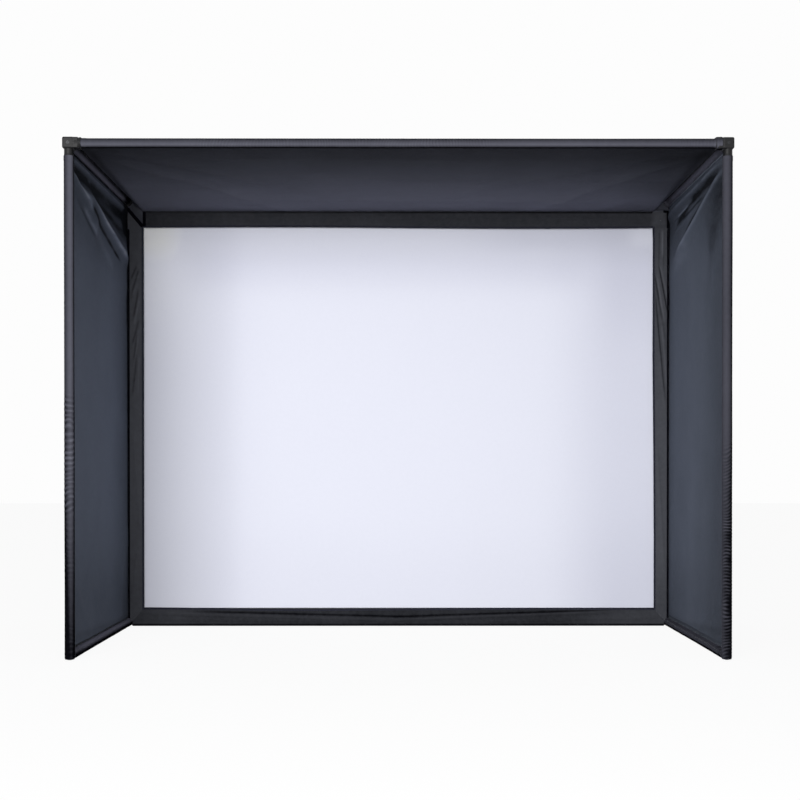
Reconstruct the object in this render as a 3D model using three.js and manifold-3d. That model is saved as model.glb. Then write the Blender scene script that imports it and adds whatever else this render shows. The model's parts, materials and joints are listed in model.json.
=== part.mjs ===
// Golf practice net: a free-standing tube frame in fabric sleeves, with cloth sides and
// roof round a hitting bay, and an impact screen laced into the back of the frame.
//
// Millimetres, +Z up. The origin is on the floor, under the middle of the frame.
// The bay is open towards -Y, where the player stands; the screen is at +Y.

import * as THREE from 'three';
import { mergeVertices } from 'three/addons/utils/BufferGeometryUtils.js';
import { RoundedBoxGeometry } from 'three/addons/geometries/RoundedBoxGeometry.js';
import Module from 'manifold-3d';

const wasm = await Module();
wasm.setup();

// ---------------------------------------------------------------- driving dimensions

// Frame, between the centre lines of its tubes
const FRAME_WIDTH = 3150;
const FRAME_DEPTH = 1478;
const FRAME_HEIGHT = 2448;

// Round steel tube, and the reduced ends that join two lengths
const TUBE_RADIUS = 19.05;
const TUBE_WALL = 1.5;
const SPLICE_LENGTH = 100;
const SPLICE_TAPER = 6;

// Spring button that locks a splice
const BUTTON_RADIUS = 4.1;
const BUTTON_CLEARANCE = 0.55;
const BUTTON_DOME = 1.6;
const BUTTON_DOME_HEIGHT = 0.4;
const BUTTON_FLANGE = 6.4;
const CLIP_THICKNESS = 1;
const CLIP_WIDTH = 11;
const CLIP_LENGTH = 52;
const CLIP_BEND = 6;
const CLIP_BEND_RISE = 4;
const CLIP_BEND_DROP = 9;
const CLIP_TRAVEL = 4.6;

// Moulded corner with sockets, at the four top corners
const SOCKET_WALL = 8.1;
const SOCKET_LIP = 1.5;
const SOCKET_LIP_LENGTH = 9;
const SOCKET_ARM = 60;
const SOCKET_STOP = 24;
const CORNER_ROUNDING = 9;

// Moulded corner that plugs into the tubes, at the four bottom corners
const PLUG_ARM = 30;
const PLUG_SPIGOT = 50;
const PLUG_WALL = 3.6;

// Cloth
const SLEEVE_SLACK = 3.15;
const SLEEVE_CLOTH = 0.8;
const PANEL_CLOTH = 1;
const FLAP_CLOTH = 0.8;

// Border flaps round the screen, in from the tube centre lines, and the roof seam above them
const FLAP_SIDE_REACH = 94;
const FLAP_BOTTOM_REACH = 88;
const FLAP_TOP_REACH = 152;
const FLAP_ABOVE_FLOOR = 3;
const ROOF_SEAM_DROP = 60;

// Eyelet strip on a rear sleeve, from the sleeve's surface
const STRIP_WIDTH = 19;
const STRIP_CLOTH = 1.6;
const STRIP_EYELET = 10;
const STRIP_END = 75;

// Impact screen and its webbing hem
const LACING_GAP = 8;
const HEM_WIDTH = 25;
const HEM_THICKNESS = 3;
const HEM_EYELET = 11;
const SCREEN_THICKNESS = 2;

// Lacing
const EYELET_RADIUS = 5.5;
const LACING_PITCH = 300;
const CORD_RADIUS = 2.5;
const CORD_LIFT = 0.5;

// Clearances
const TOUCH_GAP = 0.3;
const SLIDE_GAP = 0.35;
const CLOTH_GAP = 0.5;
const SLEEVE_CUT_GAP = 1;

// Facets
const ROUND_SIDES = 12;
const PIN_SIDES = 8;
const CORD_SIDES = 8;
const EYELET_SIDES = 6;
const SIDE_GRID = [14, 18];
const ROOF_GRID = [20, 12];

// Main folds of the hanging cloth. A ridge runs from one point to the other and stands
// into the bay by its height; a point is [back from the front post, down from the top rail].
const LEFT_FOLDS = [
  { from: [99, 96], to: [1379, 321], width: 80, height: 42 },
  { from: [179, 171], to: [999, 361], width: 90, height: 16 },
  { from: [219, 31], to: [1379, 181], width: 75, height: -32 },
];
const RIGHT_FOLDS = [
  { from: [99, 101], to: [1379, 286], width: 80, height: 38 },
  { from: [259, 61], to: [1259, 141], width: 75, height: 24 },
  { from: [179, 81], to: [1339, 209], width: 60, height: -26 },
];
const FOLD_START = [-0.1, 0.15];
const FOLD_END = [0.7, 1.1];
const SIDE_BILLOW = 14;
const ROOF_RIPPLE = 5;
const ROOF_RIPPLES = 3;
const ROOF_CORNER_RISE = 260;
const ROOF_DIP_CURVE = 1.5;

// How far in from its edges a cloth is held straight, as a share of it across and along
const SIDE_HOLD = [0.12, 0.1];
const ROOF_HOLD = [0.2, 0.15];

// ---------------------------------------------------------------- derived places

const HALF_WIDTH = FRAME_WIDTH / 2;
const HALF_DEPTH = FRAME_DEPTH / 2;
const SLEEVE_BORE = TUBE_RADIUS + SLEEVE_SLACK;
const SLEEVE_RADIUS = SLEEVE_BORE + SLEEVE_CLOTH;
const BOTTOM = SLEEVE_RADIUS;
const TOP = BOTTOM + FRAME_HEIGHT;
const TUBE_BORE = TUBE_RADIUS - TUBE_WALL;
const SPLICE_RADIUS = TUBE_BORE - SLIDE_GAP;
const SPLICE_BORE = SPLICE_RADIUS - TUBE_WALL;
const SOCKET_BORE = TUBE_RADIUS + SLIDE_GAP;
const SOCKET_RADIUS = SOCKET_BORE + SOCKET_WALL;
const SOCKET_LIP_RADIUS = SOCKET_RADIUS + SOCKET_LIP;
const SLEEVE_EDGE = SLEEVE_RADIUS + CLOTH_GAP;
const FLAP_BACK = HALF_DEPTH - SOCKET_LIP_RADIUS - CLOTH_GAP;
const FLAP_FRONT = FLAP_BACK - FLAP_CLOTH;
const CORNER_CUT = SOCKET_ARM + 2 * CLOTH_GAP;
const STRIP_EDGE_INSET = SLEEVE_RADIUS + STRIP_WIDTH;
const STRIP_EYELET_INSET = SLEEVE_RADIUS + STRIP_EYELET;
const HEM_OUTER_INSET = STRIP_EDGE_INSET + LACING_GAP;
const HEM_EYELET_INSET = HEM_OUTER_INSET + HEM_EYELET;
const SCREEN_INSET = HEM_OUTER_INSET + HEM_WIDTH;
const CORD_STAND_OFF = HEM_THICKNESS / 2 + CORD_RADIUS + CORD_LIFT;
const SIDES = [{ name: 'left', sign: -1 }, { name: 'right', sign: 1 }];
const ENDS = [{ name: 'front', sign: -1 }, { name: 'rear', sign: 1 }];

// ---------------------------------------------------------------- materials

function finish(color, roughness, metalness = 0) {
  return new THREE.MeshStandardMaterial({ color, roughness, metalness });
}
const STEEL = finish(0x2b2c2e, 0.45, 0.9);
const SPRING_STEEL = finish(0xb8bcc2, 0.3, 1);
const MOULDING = finish(0x35363a, 0.6);
const SLEEVE = finish(0x4a4b54, 0.85);
const PANEL = finish(0x3b3f48, 0.9);
const FLAP = finish(0x2a2b2f, 0.9);
const SCREEN = finish(0xdfe2f0, 0.8);
const WEBBING = finish(0x17181a, 0.85);
const ELASTIC = finish(0x1b1c1f, 0.8);

// ---------------------------------------------------------------- solids

// A closed mesh as a solid that can be cut and joined.
function solid(geometry) {
  const bare = geometry.clone();
  bare.deleteAttribute('normal');
  bare.deleteAttribute('uv');
  const merged = mergeVertices(bare, 1e-4);
  return new wasm.Manifold(new wasm.Mesh({
    numProp: 3,
    vertProperties: new Float32Array(merged.attributes.position.array),
    triVerts: new Uint32Array(merged.index.array),
  }));
}

function geometryOf(body) {
  const mesh = body.getMesh();
  const geometry = new THREE.BufferGeometry();
  geometry.setAttribute('position', new THREE.BufferAttribute(new Float32Array(mesh.vertProperties), 3));
  geometry.setIndex(new THREE.BufferAttribute(new Uint32Array(mesh.triVerts), 1));
  geometry.computeVertexNormals();
  return geometry;
}

// A profile of [radius, distance] points turned round the Z axis.
function turned(profile, sides = ROUND_SIDES) {
  const points = profile.map(([radius, along]) => new THREE.Vector2(radius, along));
  return new THREE.LatheGeometry(points, sides).rotateX(Math.PI / 2);
}

function ring(inner, outer, start, end, sides) {
  return turned([[inner, start], [outer, start], [outer, end], [inner, end], [inner, start]], sides);
}

function rod(radius, start, end, sides) {
  return turned([[0, start], [radius, start], [radius, end], [0, end]], sides);
}

// Turns local Z to `along` and local X to `side`.
function basis(along, side) {
  const across = new THREE.Vector3().crossVectors(along, side);
  return new THREE.Matrix4().makeBasis(side, across, along);
}

function axis(name, sign = 1) {
  return new THREE.Vector3(name === 'x' ? sign : 0, name === 'y' ? sign : 0, name === 'z' ? sign : 0);
}

// Any main axis square to the given one.
function squareTo(along) {
  return Math.abs(along.z) > 0.5 ? axis('x') : axis('z');
}

function pointed(geometry, along, centre = new THREE.Vector3()) {
  const turn = basis(along, squareTo(along)).setPosition(centre);
  return geometry.clone().applyMatrix4(turn);
}

const net = new THREE.Group();

function add(name, geometry, material, position = new THREE.Vector3(), turn = new THREE.Matrix4()) {
  const mesh = new THREE.Mesh(geometry, material);
  mesh.name = name;
  mesh.position.copy(position);
  mesh.quaternion.setFromRotationMatrix(turn);
  net.add(mesh);
}

// ---------------------------------------------------------------- tubes and splices

function plainTube(length) {
  return ring(TUBE_BORE, TUBE_RADIUS, 0, length);
}

// The button's hole, square to the tube and on its X side.
function buttonHole(at) {
  return solid(pointed(rod(BUTTON_RADIUS + SLIDE_GAP, 0, 2 * TUBE_RADIUS, PIN_SIDES), axis('x'),
    new THREE.Vector3(0, 0, at)));
}

// Length of tube whose far end is reduced to slide into the next one.
function reducedTube(length) {
  const shoulder = length - SPLICE_TAPER;
  const tip = length + SPLICE_LENGTH;
  const tube = solid(turned([
    [TUBE_BORE, 0], [TUBE_RADIUS, 0], [TUBE_RADIUS, shoulder], [SPLICE_RADIUS, length],
    [SPLICE_RADIUS, tip], [SPLICE_BORE, tip], [SPLICE_BORE, length], [TUBE_BORE, shoulder],
    [TUBE_BORE, 0],
  ]));
  return geometryOf(tube.subtract(buttonHole(length + SPLICE_LENGTH / 2)));
}

// Length of tube whose near end slides over the reduced one.
function receivingTube(length) {
  return geometryOf(solid(plainTube(length)).subtract(buttonHole(SPLICE_LENGTH / 2 - TOUCH_GAP)));
}

// Domed pin on a bent strip of spring steel; the pin points along X.
function springButton() {
  const room = SPLICE_BORE * Math.cos(Math.PI / ROUND_SIDES) - CLOTH_GAP;
  const seat = Math.sqrt(room ** 2 - BUTTON_FLANGE ** 2);
  const crown = SLEEVE_BORE - BUTTON_CLEARANCE;
  const pin = pointed(turned([
    [0, seat - CLIP_THICKNESS], [BUTTON_FLANGE, seat - CLIP_THICKNESS], [BUTTON_FLANGE, seat],
    [BUTTON_RADIUS, seat], [BUTTON_RADIUS, crown - BUTTON_DOME],
    [BUTTON_RADIUS / 2, crown - BUTTON_DOME_HEIGHT], [0, crown],
  ], PIN_SIDES), axis('x'));
  const foot = Math.sqrt(room ** 2 - (CLIP_WIDTH / 2) ** 2) - CLIP_TRAVEL;
  const inner = seat - CLIP_THICKNESS;
  const bendEnd = -CLIP_LENGTH + CLIP_THICKNESS;
  const strip = new THREE.Shape([
    new THREE.Vector2(seat, BUTTON_FLANGE),
    new THREE.Vector2(seat, -CLIP_LENGTH + CLIP_BEND),
    new THREE.Vector2(seat - CLIP_BEND_RISE, -CLIP_LENGTH),
    new THREE.Vector2(seat - CLIP_BEND_DROP, -CLIP_LENGTH),
    new THREE.Vector2(-foot, -CLIP_BEND),
    new THREE.Vector2(-foot + CLIP_THICKNESS, -CLIP_BEND + CLIP_THICKNESS),
    new THREE.Vector2(seat - CLIP_BEND_DROP + CLIP_THICKNESS / 2, bendEnd),
    new THREE.Vector2(seat - CLIP_BEND_RISE - CLIP_THICKNESS / 2, bendEnd),
    new THREE.Vector2(inner, -CLIP_LENGTH + CLIP_BEND + CLIP_THICKNESS / 2),
    new THREE.Vector2(inner, BUTTON_FLANGE),
  ]);
  const clip = new THREE.ExtrudeGeometry(strip, { depth: CLIP_WIDTH, bevelEnabled: false });
  clip.translate(0, 0, -CLIP_WIDTH / 2).rotateX(Math.PI / 2);
  return geometryOf(solid(pin).add(solid(clip)));
}

// Two spliced lengths between the corner centres `from` and `to`, with a button on the side
// `side`. `startInset` and `endInset` are the tube ends' distances from those centres.
function splicedRun(names, buttonName, from, to, side, startInset, endInset) {
  const along = new THREE.Vector3().subVectors(to, from);
  const half = along.length() / 2;
  along.normalize();
  const turn = basis(along, side);
  const at = (distance) => from.clone().addScaledVector(along, distance);
  add(names[0], reducedTube(half - startInset), STEEL, at(startInset), turn);
  add(names[1], receivingTube(half - endInset - TOUCH_GAP), STEEL, at(half + TOUCH_GAP), turn);
  add(buttonName, springButton(), SPRING_STEEL, at(half + SPLICE_LENGTH / 2), turn);
}

// ---------------------------------------------------------------- corner mouldings

const SOCKET_INSET = SOCKET_STOP + TOUCH_GAP;
const PLUG_INSET = PLUG_ARM + TOUCH_GAP;

// Three sockets that meet in a rounded block.
function socketCorner(arms) {
  const block = 2 * SOCKET_RADIUS;
  let body = solid(new RoundedBoxGeometry(block, block, block, 1, CORNER_ROUNDING));
  const arm = turned([
    [0, 0], [SOCKET_RADIUS, 0], [SOCKET_RADIUS, SOCKET_ARM - SOCKET_LIP_LENGTH - SOCKET_LIP],
    [SOCKET_LIP_RADIUS, SOCKET_ARM - SOCKET_LIP_LENGTH], [SOCKET_LIP_RADIUS, SOCKET_ARM],
    [0, SOCKET_ARM],
  ]);
  const bore = rod(SOCKET_BORE, SOCKET_STOP, SOCKET_ARM + 1);
  for (const along of arms) {
    body = body.add(solid(pointed(arm, along)));
  }
  for (const along of arms) {
    body = body.subtract(solid(pointed(bore, along)));
  }
  return geometryOf(body);
}

// Hollow spigots that plug into the tube ends, flush with the tubes outside.
function plugCorner(arms) {
  let body = solid(new THREE.SphereGeometry(TUBE_RADIUS, ROUND_SIDES, ROUND_SIDES / 2));
  const tip = PLUG_ARM + PLUG_SPIGOT;
  const arm = turned([
    [0, 0], [TUBE_RADIUS, 0], [TUBE_RADIUS, PLUG_ARM], [SPLICE_RADIUS, PLUG_ARM],
    [SPLICE_RADIUS, tip], [0, tip],
  ]);
  const bore = rod(SPLICE_RADIUS - PLUG_WALL, PLUG_ARM, tip + 1);
  for (const along of arms) {
    body = body.add(solid(pointed(arm, along)));
  }
  for (const along of arms) {
    body = body.subtract(solid(pointed(bore, along)));
  }
  return geometryOf(body);
}

// ---------------------------------------------------------------- sleeves

// Distances of the eyelets along a laced edge of the given length, about one pitch apart.
function eyelets(length) {
  const count = Math.round(length / LACING_PITCH);
  const pitch = length / count;
  return Array.from({ length: count }, (_, i) => (i - (count - 1) / 2) * pitch);
}

// Distances of the eyelets between those.
function middles(places) {
  return places.slice(1).map((place, i) => (place + places[i]) / 2);
}

function eyeletCutter(inset, at, centre) {
  const reach = 4 * STRIP_CLOTH;
  const cutter = pointed(rod(EYELET_RADIUS, -reach, reach, EYELET_SIDES), axis('y'));
  return solid(cutter.translate(inset, 0, centre + at));
}

// Sleeve along Z with an eyelet strip on its X side.
function lacedSleeve(start, end, centre, lacedLength) {
  const root = SLEEVE_RADIUS - SLEEVE_CLOTH / 2;
  const length = lacedLength - 2 * STRIP_END;
  const strip = new THREE.BoxGeometry(STRIP_EDGE_INSET - root, STRIP_CLOTH, length);
  strip.translate((STRIP_EDGE_INSET + root) / 2, 0, centre);
  let body = solid(ring(SLEEVE_BORE, SLEEVE_RADIUS, start, end)).add(solid(strip));
  for (const at of middles(eyelets(length))) {
    body = body.subtract(eyeletCutter(STRIP_EYELET_INSET, at, centre));
  }
  return body;
}

function plainSleeve(length) {
  return ring(SLEEVE_BORE, SLEEVE_RADIUS, 0, length);
}

// Holes at the foot of a post sleeve, where the corner moulding's arms come out.
function withFootHoles(body, directions) {
  const cutter = rod(TUBE_RADIUS + SLEEVE_CUT_GAP, 0, 2 * SLEEVE_RADIUS);
  const foot = new THREE.Vector3(0, 0, BOTTOM);
  return directions.reduce((rest, along) => rest.subtract(solid(pointed(cutter, along, foot))), body);
}

// ---------------------------------------------------------------- sheets

// Closed sheet over a grid: `point(u, v)` gives its mid-surface and `normal` its thickness.
function sheet([columns, rows], thickness, normal, point) {
  const positions = [];
  const index = [];
  const across = columns + 1;
  const layer = across * (rows + 1);
  for (const side of [1, -1]) {
    for (let j = 0; j <= rows; j += 1) {
      for (let i = 0; i <= columns; i += 1) {
        const place = point(i / columns, j / rows).addScaledVector(normal, side * thickness / 2);
        positions.push(place.x, place.y, place.z);
      }
    }
  }
  const quad = (a, b, c, d) => index.push(a, b, c, a, c, d);
  for (let j = 0; j < rows; j += 1) {
    for (let i = 0; i < columns; i += 1) {
      const a = j * across + i;
      quad(a, a + 1, a + 1 + across, a + across);
      quad(layer + a, layer + a + across, layer + a + 1 + across, layer + a + 1);
    }
  }
  for (let i = 0; i < columns; i += 1) {
    const far = rows * across + i;
    quad(i, layer + i, layer + i + 1, i + 1);
    quad(far + 1, layer + far + 1, layer + far, far);
  }
  for (let j = 0; j < rows; j += 1) {
    const a = j * across;
    const b = a + columns;
    quad(a + across, layer + a + across, layer + a, a);
    quad(b, layer + b, layer + b + across, b + across);
  }
  const geometry = new THREE.BufferGeometry();
  geometry.setAttribute('position', new THREE.Float32BufferAttribute(positions, 3));
  geometry.setIndex(index);
  return geometry;
}

// Height of one fold at a point, fading at the ends of its ridge.
function foldHeight(fold, back, down) {
  const [back0, down0] = fold.from;
  const run = fold.to[0] - back0;
  const drop = fold.to[1] - down0;
  const length = Math.hypot(run, drop);
  const along = ((back - back0) * run + (down - down0) * drop) / length;
  const aside = ((back - back0) * drop - (down - down0) * run) / length;
  const place = along / length;
  const rise = THREE.MathUtils.smoothstep(place, ...FOLD_START);
  const fade = rise * (1 - THREE.MathUtils.smoothstep(place, ...FOLD_END));
  return fold.height * fade * Math.exp(-((aside / fold.width) ** 2));
}

// 0 at both ends of a span and 1 inside it.
function pinned(t, margin) {
  return THREE.MathUtils.smoothstep(t, 0, margin) * THREE.MathUtils.smoothstep(1 - t, 0, margin);
}

function cornerCut(x, y, z) {
  const size = 2 * CORNER_CUT;
  return solid(new THREE.BoxGeometry(size, size, size).translate(x, y, z));
}

// Side panel between the sleeves; the sign is -1 on the left.
function sidePanel(sign, folds) {
  const front = -HALF_DEPTH + SLEEVE_EDGE;
  const depth = FRAME_DEPTH - 2 * SLEEVE_EDGE;
  const foot = BOTTOM + SLEEVE_EDGE;
  const height = FRAME_HEIGHT - 2 * SLEEVE_EDGE;
  const cloth = sheet(SIDE_GRID, PANEL_CLOTH, axis('x'), (u, v) => {
    const y = front + u * depth;
    const z = foot + v * height;
    const hold = pinned(u, SIDE_HOLD[0]) * pinned(v, SIDE_HOLD[1]);
    const billow = SIDE_BILLOW * Math.sin(Math.PI * u) * Math.sin(Math.PI * v);
    const fold = folds.reduce((sum, each) => sum + foldHeight(each, y + HALF_DEPTH, TOP - z), 0);
    return new THREE.Vector3(sign * (HALF_WIDTH - hold * fold + billow * hold), y, z);
  });
  let body = solid(cloth);
  for (const end of ENDS) {
    body = body.subtract(cornerCut(sign * HALF_WIDTH, end.sign * HALF_DEPTH, TOP));
  }
  return geometryOf(body);
}

// Roof panel; its back edge dips to the seam over the top flap.
function roofPanel() {
  const half = HALF_WIDTH - SLEEVE_EDGE;
  const front = -HALF_DEPTH + SLEEVE_EDGE;
  const depth = FLAP_FRONT - CLOTH_GAP - front;
  const cloth = sheet(ROOF_GRID, PANEL_CLOTH, axis('z'), (u, v) => {
    const x = -half + 2 * half * u;
    const edge = (half - Math.abs(x)) / ROOF_CORNER_RISE;
    const dip = ROOF_SEAM_DROP * THREE.MathUtils.smoothstep(edge, 0, 1) * v ** ROOF_DIP_CURVE;
    const ripple = ROOF_RIPPLE * Math.sin(Math.PI * ROOF_RIPPLES * v) * pinned(u, ROOF_HOLD[0]);
    return new THREE.Vector3(x, front + v * depth, TOP - dip - ripple * pinned(v, ROOF_HOLD[1]));
  });
  let body = solid(cloth);
  for (const side of SIDES) {
    for (const end of ENDS) {
      body = body.subtract(cornerCut(side.sign * HALF_WIDTH, end.sign * HALF_DEPTH, TOP));
    }
  }
  return geometryOf(body);
}

// Flat sheet in the XZ plane from an outline of [x, z] points, `back` being its +Y face.
function upright(outline, thickness, back) {
  const shape = new THREE.Shape(outline.map(([x, z]) => new THREE.Vector2(x, z)));
  const plate = new THREE.ExtrudeGeometry(shape, { depth: thickness, bevelEnabled: false });
  return plate.rotateX(Math.PI / 2).translate(0, back, 0);
}

// ---------------------------------------------------------------- border flaps

const OPEN_HALF = HALF_WIDTH - FLAP_SIDE_REACH;
const OPEN_TOP = TOP - FLAP_TOP_REACH;
const OPEN_BOTTOM = BOTTOM + FLAP_BOTTOM_REACH;
const FLAP_SIDE = HALF_WIDTH - PANEL_CLOTH / 2 - CLOTH_GAP;
const FLAP_OVER_RAIL = BOTTOM + SLEEVE_EDGE;
const FLAP_TOP = TOP - SOCKET_LIP_RADIUS - CLOTH_GAP;

function topFlap() {
  const seam = OPEN_TOP + (FLAP_SIDE - OPEN_HALF);
  return upright([
    [-OPEN_HALF, OPEN_TOP], [OPEN_HALF, OPEN_TOP], [FLAP_SIDE, seam], [FLAP_SIDE, FLAP_TOP],
    [-FLAP_SIDE, FLAP_TOP], [-FLAP_SIDE, seam],
  ], FLAP_CLOTH, FLAP_BACK);
}

function bottomFlap() {
  const side = OPEN_HALF + OPEN_BOTTOM - FLAP_OVER_RAIL;
  return upright([
    [-side, FLAP_ABOVE_FLOOR], [side, FLAP_ABOVE_FLOOR], [side, FLAP_OVER_RAIL],
    [OPEN_HALF, OPEN_BOTTOM], [-OPEN_HALF, OPEN_BOTTOM], [-side, FLAP_OVER_RAIL],
  ], FLAP_CLOTH, FLAP_BACK);
}

function sideFlap(sign) {
  const shoulder = OPEN_HALF + OPEN_BOTTOM - FLAP_OVER_RAIL;
  const seam = OPEN_TOP + (FLAP_SIDE - OPEN_HALF);
  const outline = [
    [OPEN_HALF, OPEN_BOTTOM + CLOTH_GAP], [shoulder, FLAP_OVER_RAIL + CLOTH_GAP],
    [FLAP_SIDE, FLAP_OVER_RAIL + CLOTH_GAP], [FLAP_SIDE, seam - CLOTH_GAP],
    [OPEN_HALF, OPEN_TOP - CLOTH_GAP],
  ];
  const mirrored = outline.map(([x, z]) => [sign * x, z]);
  return upright(mirrored, FLAP_CLOTH, FLAP_BACK);
}

// ---------------------------------------------------------------- screen and lacing

function impactScreen() {
  const x = HALF_WIDTH - SCREEN_INSET;
  const foot = BOTTOM + SCREEN_INSET;
  const head = TOP - SCREEN_INSET;
  const outline = [[-x, foot], [x, foot], [x, head], [-x, head]];
  return upright(outline, SCREEN_THICKNESS, HALF_DEPTH + SCREEN_THICKNESS / 2);
}

// The four laced edges: `centre` on the tube's centre line, `along` it, `inward` to the screen.
const MIDDLE = (BOTTOM + TOP) / 2;
const LACED_EDGES = [
  { name: 'left', centre: [-HALF_WIDTH, MIDDLE], along: [0, 1], inward: [1, 0], length: FRAME_HEIGHT },
  { name: 'right', centre: [HALF_WIDTH, MIDDLE], along: [0, 1], inward: [-1, 0], length: FRAME_HEIGHT },
  { name: 'top', centre: [0, TOP], along: [1, 0], inward: [0, -1], length: FRAME_WIDTH },
  { name: 'bottom', centre: [0, BOTTOM], along: [1, 0], inward: [0, 1], length: FRAME_WIDTH },
];

// Place on a laced edge: distance along it, inset from its tube, and depth behind the screen.
function edgePoint(edge, distance, inset, depth) {
  return new THREE.Vector3(
    edge.centre[0] + edge.along[0] * distance + edge.inward[0] * inset,
    HALF_DEPTH + depth,
    edge.centre[1] + edge.along[1] * distance + edge.inward[1] * inset,
  );
}

// One edge's strip of webbing hem; the upright strips run past the level ones.
function screenHem(edge) {
  const standing = edge.along[1] === 1;
  const near = HEM_OUTER_INSET;
  const far = SCREEN_INSET - TOUCH_GAP;
  const half = edge.length / 2 - (standing ? HEM_OUTER_INSET : SCREEN_INSET);
  const corners = [[-half, near], [half, far]].map(([at, inset]) => edgePoint(edge, at, inset, 0));
  const size = corners[1].clone().sub(corners[0]);
  const middle = corners[1].clone().add(corners[0]).multiplyScalar(0.5);
  const strip = new THREE.BoxGeometry(Math.abs(size.x), HEM_THICKNESS, Math.abs(size.z));
  let body = solid(strip.translate(middle.x, middle.y, middle.z));
  const cutter = pointed(rod(EYELET_RADIUS, -HEM_THICKNESS, HEM_THICKNESS, EYELET_SIDES), axis('y'));
  for (const at of eyelets(edge.length - 2 * STRIP_END)) {
    const place = edgePoint(edge, at, HEM_EYELET_INSET, 0);
    body = body.subtract(solid(cutter.clone().translate(place.x, place.y, place.z)));
  }
  return geometryOf(body);
}

// Round cord through `points`, mitred at each of them and capped at both ends.
function cord(points, radius, sides) {
  const positions = [];
  const index = [];
  const last = points.length - 1;
  const heading = (i) => new THREE.Vector3().subVectors(points[i + 1], points[i]).normalize();
  let across = squareTo(heading(0));
  points.forEach((point, i) => {
    const before = heading(Math.max(i - 1, 0));
    const after = heading(Math.min(i, last - 1));
    const normal = before.clone().add(after).normalize();
    across.addScaledVector(before, -across.dot(before)).normalize();
    const other = new THREE.Vector3().crossVectors(before, across);
    for (let k = 0; k < sides; k += 1) {
      const angle = 2 * Math.PI * k / sides;
      const rim = across.clone().multiplyScalar(radius * Math.cos(angle));
      rim.addScaledVector(other, radius * Math.sin(angle));
      // Slide the rim along the incoming stretch onto the mitre plane.
      rim.addScaledVector(before, -rim.dot(normal) / before.dot(normal));
      positions.push(point.x + rim.x, point.y + rim.y, point.z + rim.z);
    }
    // Carry the reference direction round the bend.
    const bend = new THREE.Quaternion().setFromUnitVectors(before, after);
    across = across.clone().applyQuaternion(bend);
  });
  for (let i = 0; i < last; i += 1) {
    for (let k = 0; k < sides; k += 1) {
      const a = i * sides + k;
      const b = i * sides + (k + 1) % sides;
      index.push(a, b, b + sides, a, b + sides, a + sides);
    }
  }
  const end = last * sides;
  for (let k = 1; k < sides - 1; k += 1) {
    index.push(0, k + 1, k, end, end + k, end + k + 1);
  }
  const geometry = new THREE.BufferGeometry();
  geometry.setAttribute('position', new THREE.Float32BufferAttribute(positions, 3));
  geometry.setIndex(index);
  return geometry;
}

// Shock cord that winds through the hem's eyelets and the sleeve strip's eyelets in turn.
function lacing(edge) {
  const places = eyelets(edge.length - 2 * STRIP_END);
  const between = middles(places);
  const points = [];
  places.forEach((at, i) => {
    points.push(edgePoint(edge, at, HEM_EYELET_INSET, CORD_STAND_OFF));
    points.push(edgePoint(edge, at, HEM_EYELET_INSET, -CORD_STAND_OFF));
    if (i < between.length) {
      points.push(edgePoint(edge, between[i], STRIP_EYELET_INSET, -CORD_STAND_OFF));
      points.push(edgePoint(edge, between[i], STRIP_EYELET_INSET, CORD_STAND_OFF));
    }
  });
  return cord(points, CORD_RADIUS, CORD_SIDES);
}

// ---------------------------------------------------------------- the frame

function corner(sideSign, endSign, z) {
  return new THREE.Vector3(sideSign * HALF_WIDTH, endSign * HALF_DEPTH, z);
}

splicedRun(['front_header_left', 'front_header_right'], 'front_header_button',
  corner(-1, -1, TOP), corner(1, -1, TOP), axis('z'), SOCKET_INSET, SOCKET_INSET);
splicedRun(['rear_header_left', 'rear_header_right'], 'rear_header_button',
  corner(-1, 1, TOP), corner(1, 1, TOP), axis('z'), SOCKET_INSET, SOCKET_INSET);
splicedRun(['rear_bottom_rail_left', 'rear_bottom_rail_right'], 'rear_bottom_rail_button',
  corner(-1, 1, BOTTOM), corner(1, 1, BOTTOM), axis('y'), PLUG_INSET, PLUG_INSET);

for (const side of SIDES) {
  for (const end of ENDS) {
    const post = `${side.name}_${end.name}_post`;
    splicedRun([`${post}_lower`, `${post}_upper`], `${post}_button`,
      corner(side.sign, end.sign, BOTTOM), corner(side.sign, end.sign, TOP),
      axis('x', side.sign), PLUG_INSET, SOCKET_INSET);

    const inward = axis('x', -side.sign);
    const along = axis('y', -end.sign);
    add(`${side.name}_${end.name}_top_corner`, socketCorner([inward, along, axis('z', -1)]),
      MOULDING, corner(side.sign, end.sign, TOP));
    const plugArms = end.name === 'rear' ? [along, axis('z'), inward] : [along, axis('z')];
    add(`${side.name}_${end.name}_bottom_corner`, plugCorner(plugArms),
      MOULDING, corner(side.sign, end.sign, BOTTOM));
  }
  const railTurn = basis(axis('y'), axis('x'));
  add(`${side.name}_top_rail`, plainTube(FRAME_DEPTH - 2 * SOCKET_INSET), STEEL,
    new THREE.Vector3(side.sign * HALF_WIDTH, -HALF_DEPTH + SOCKET_INSET, TOP), railTurn);
  add(`${side.name}_bottom_rail`, plainTube(FRAME_DEPTH - 2 * PLUG_INSET), STEEL,
    new THREE.Vector3(side.sign * HALF_WIDTH, -HALF_DEPTH + PLUG_INSET, BOTTOM), railTurn);
}

// ---------------------------------------------------------------- the cover

const ARM_EDGE = SOCKET_ARM + CLOTH_GAP;
const POST_SLEEVE_TOP = TOP - ARM_EDGE;
const alongX = basis(axis('x'), axis('z'));
const alongXFlipped = basis(axis('x'), axis('z', -1));
const alongY = basis(axis('y'), axis('x'));

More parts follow.
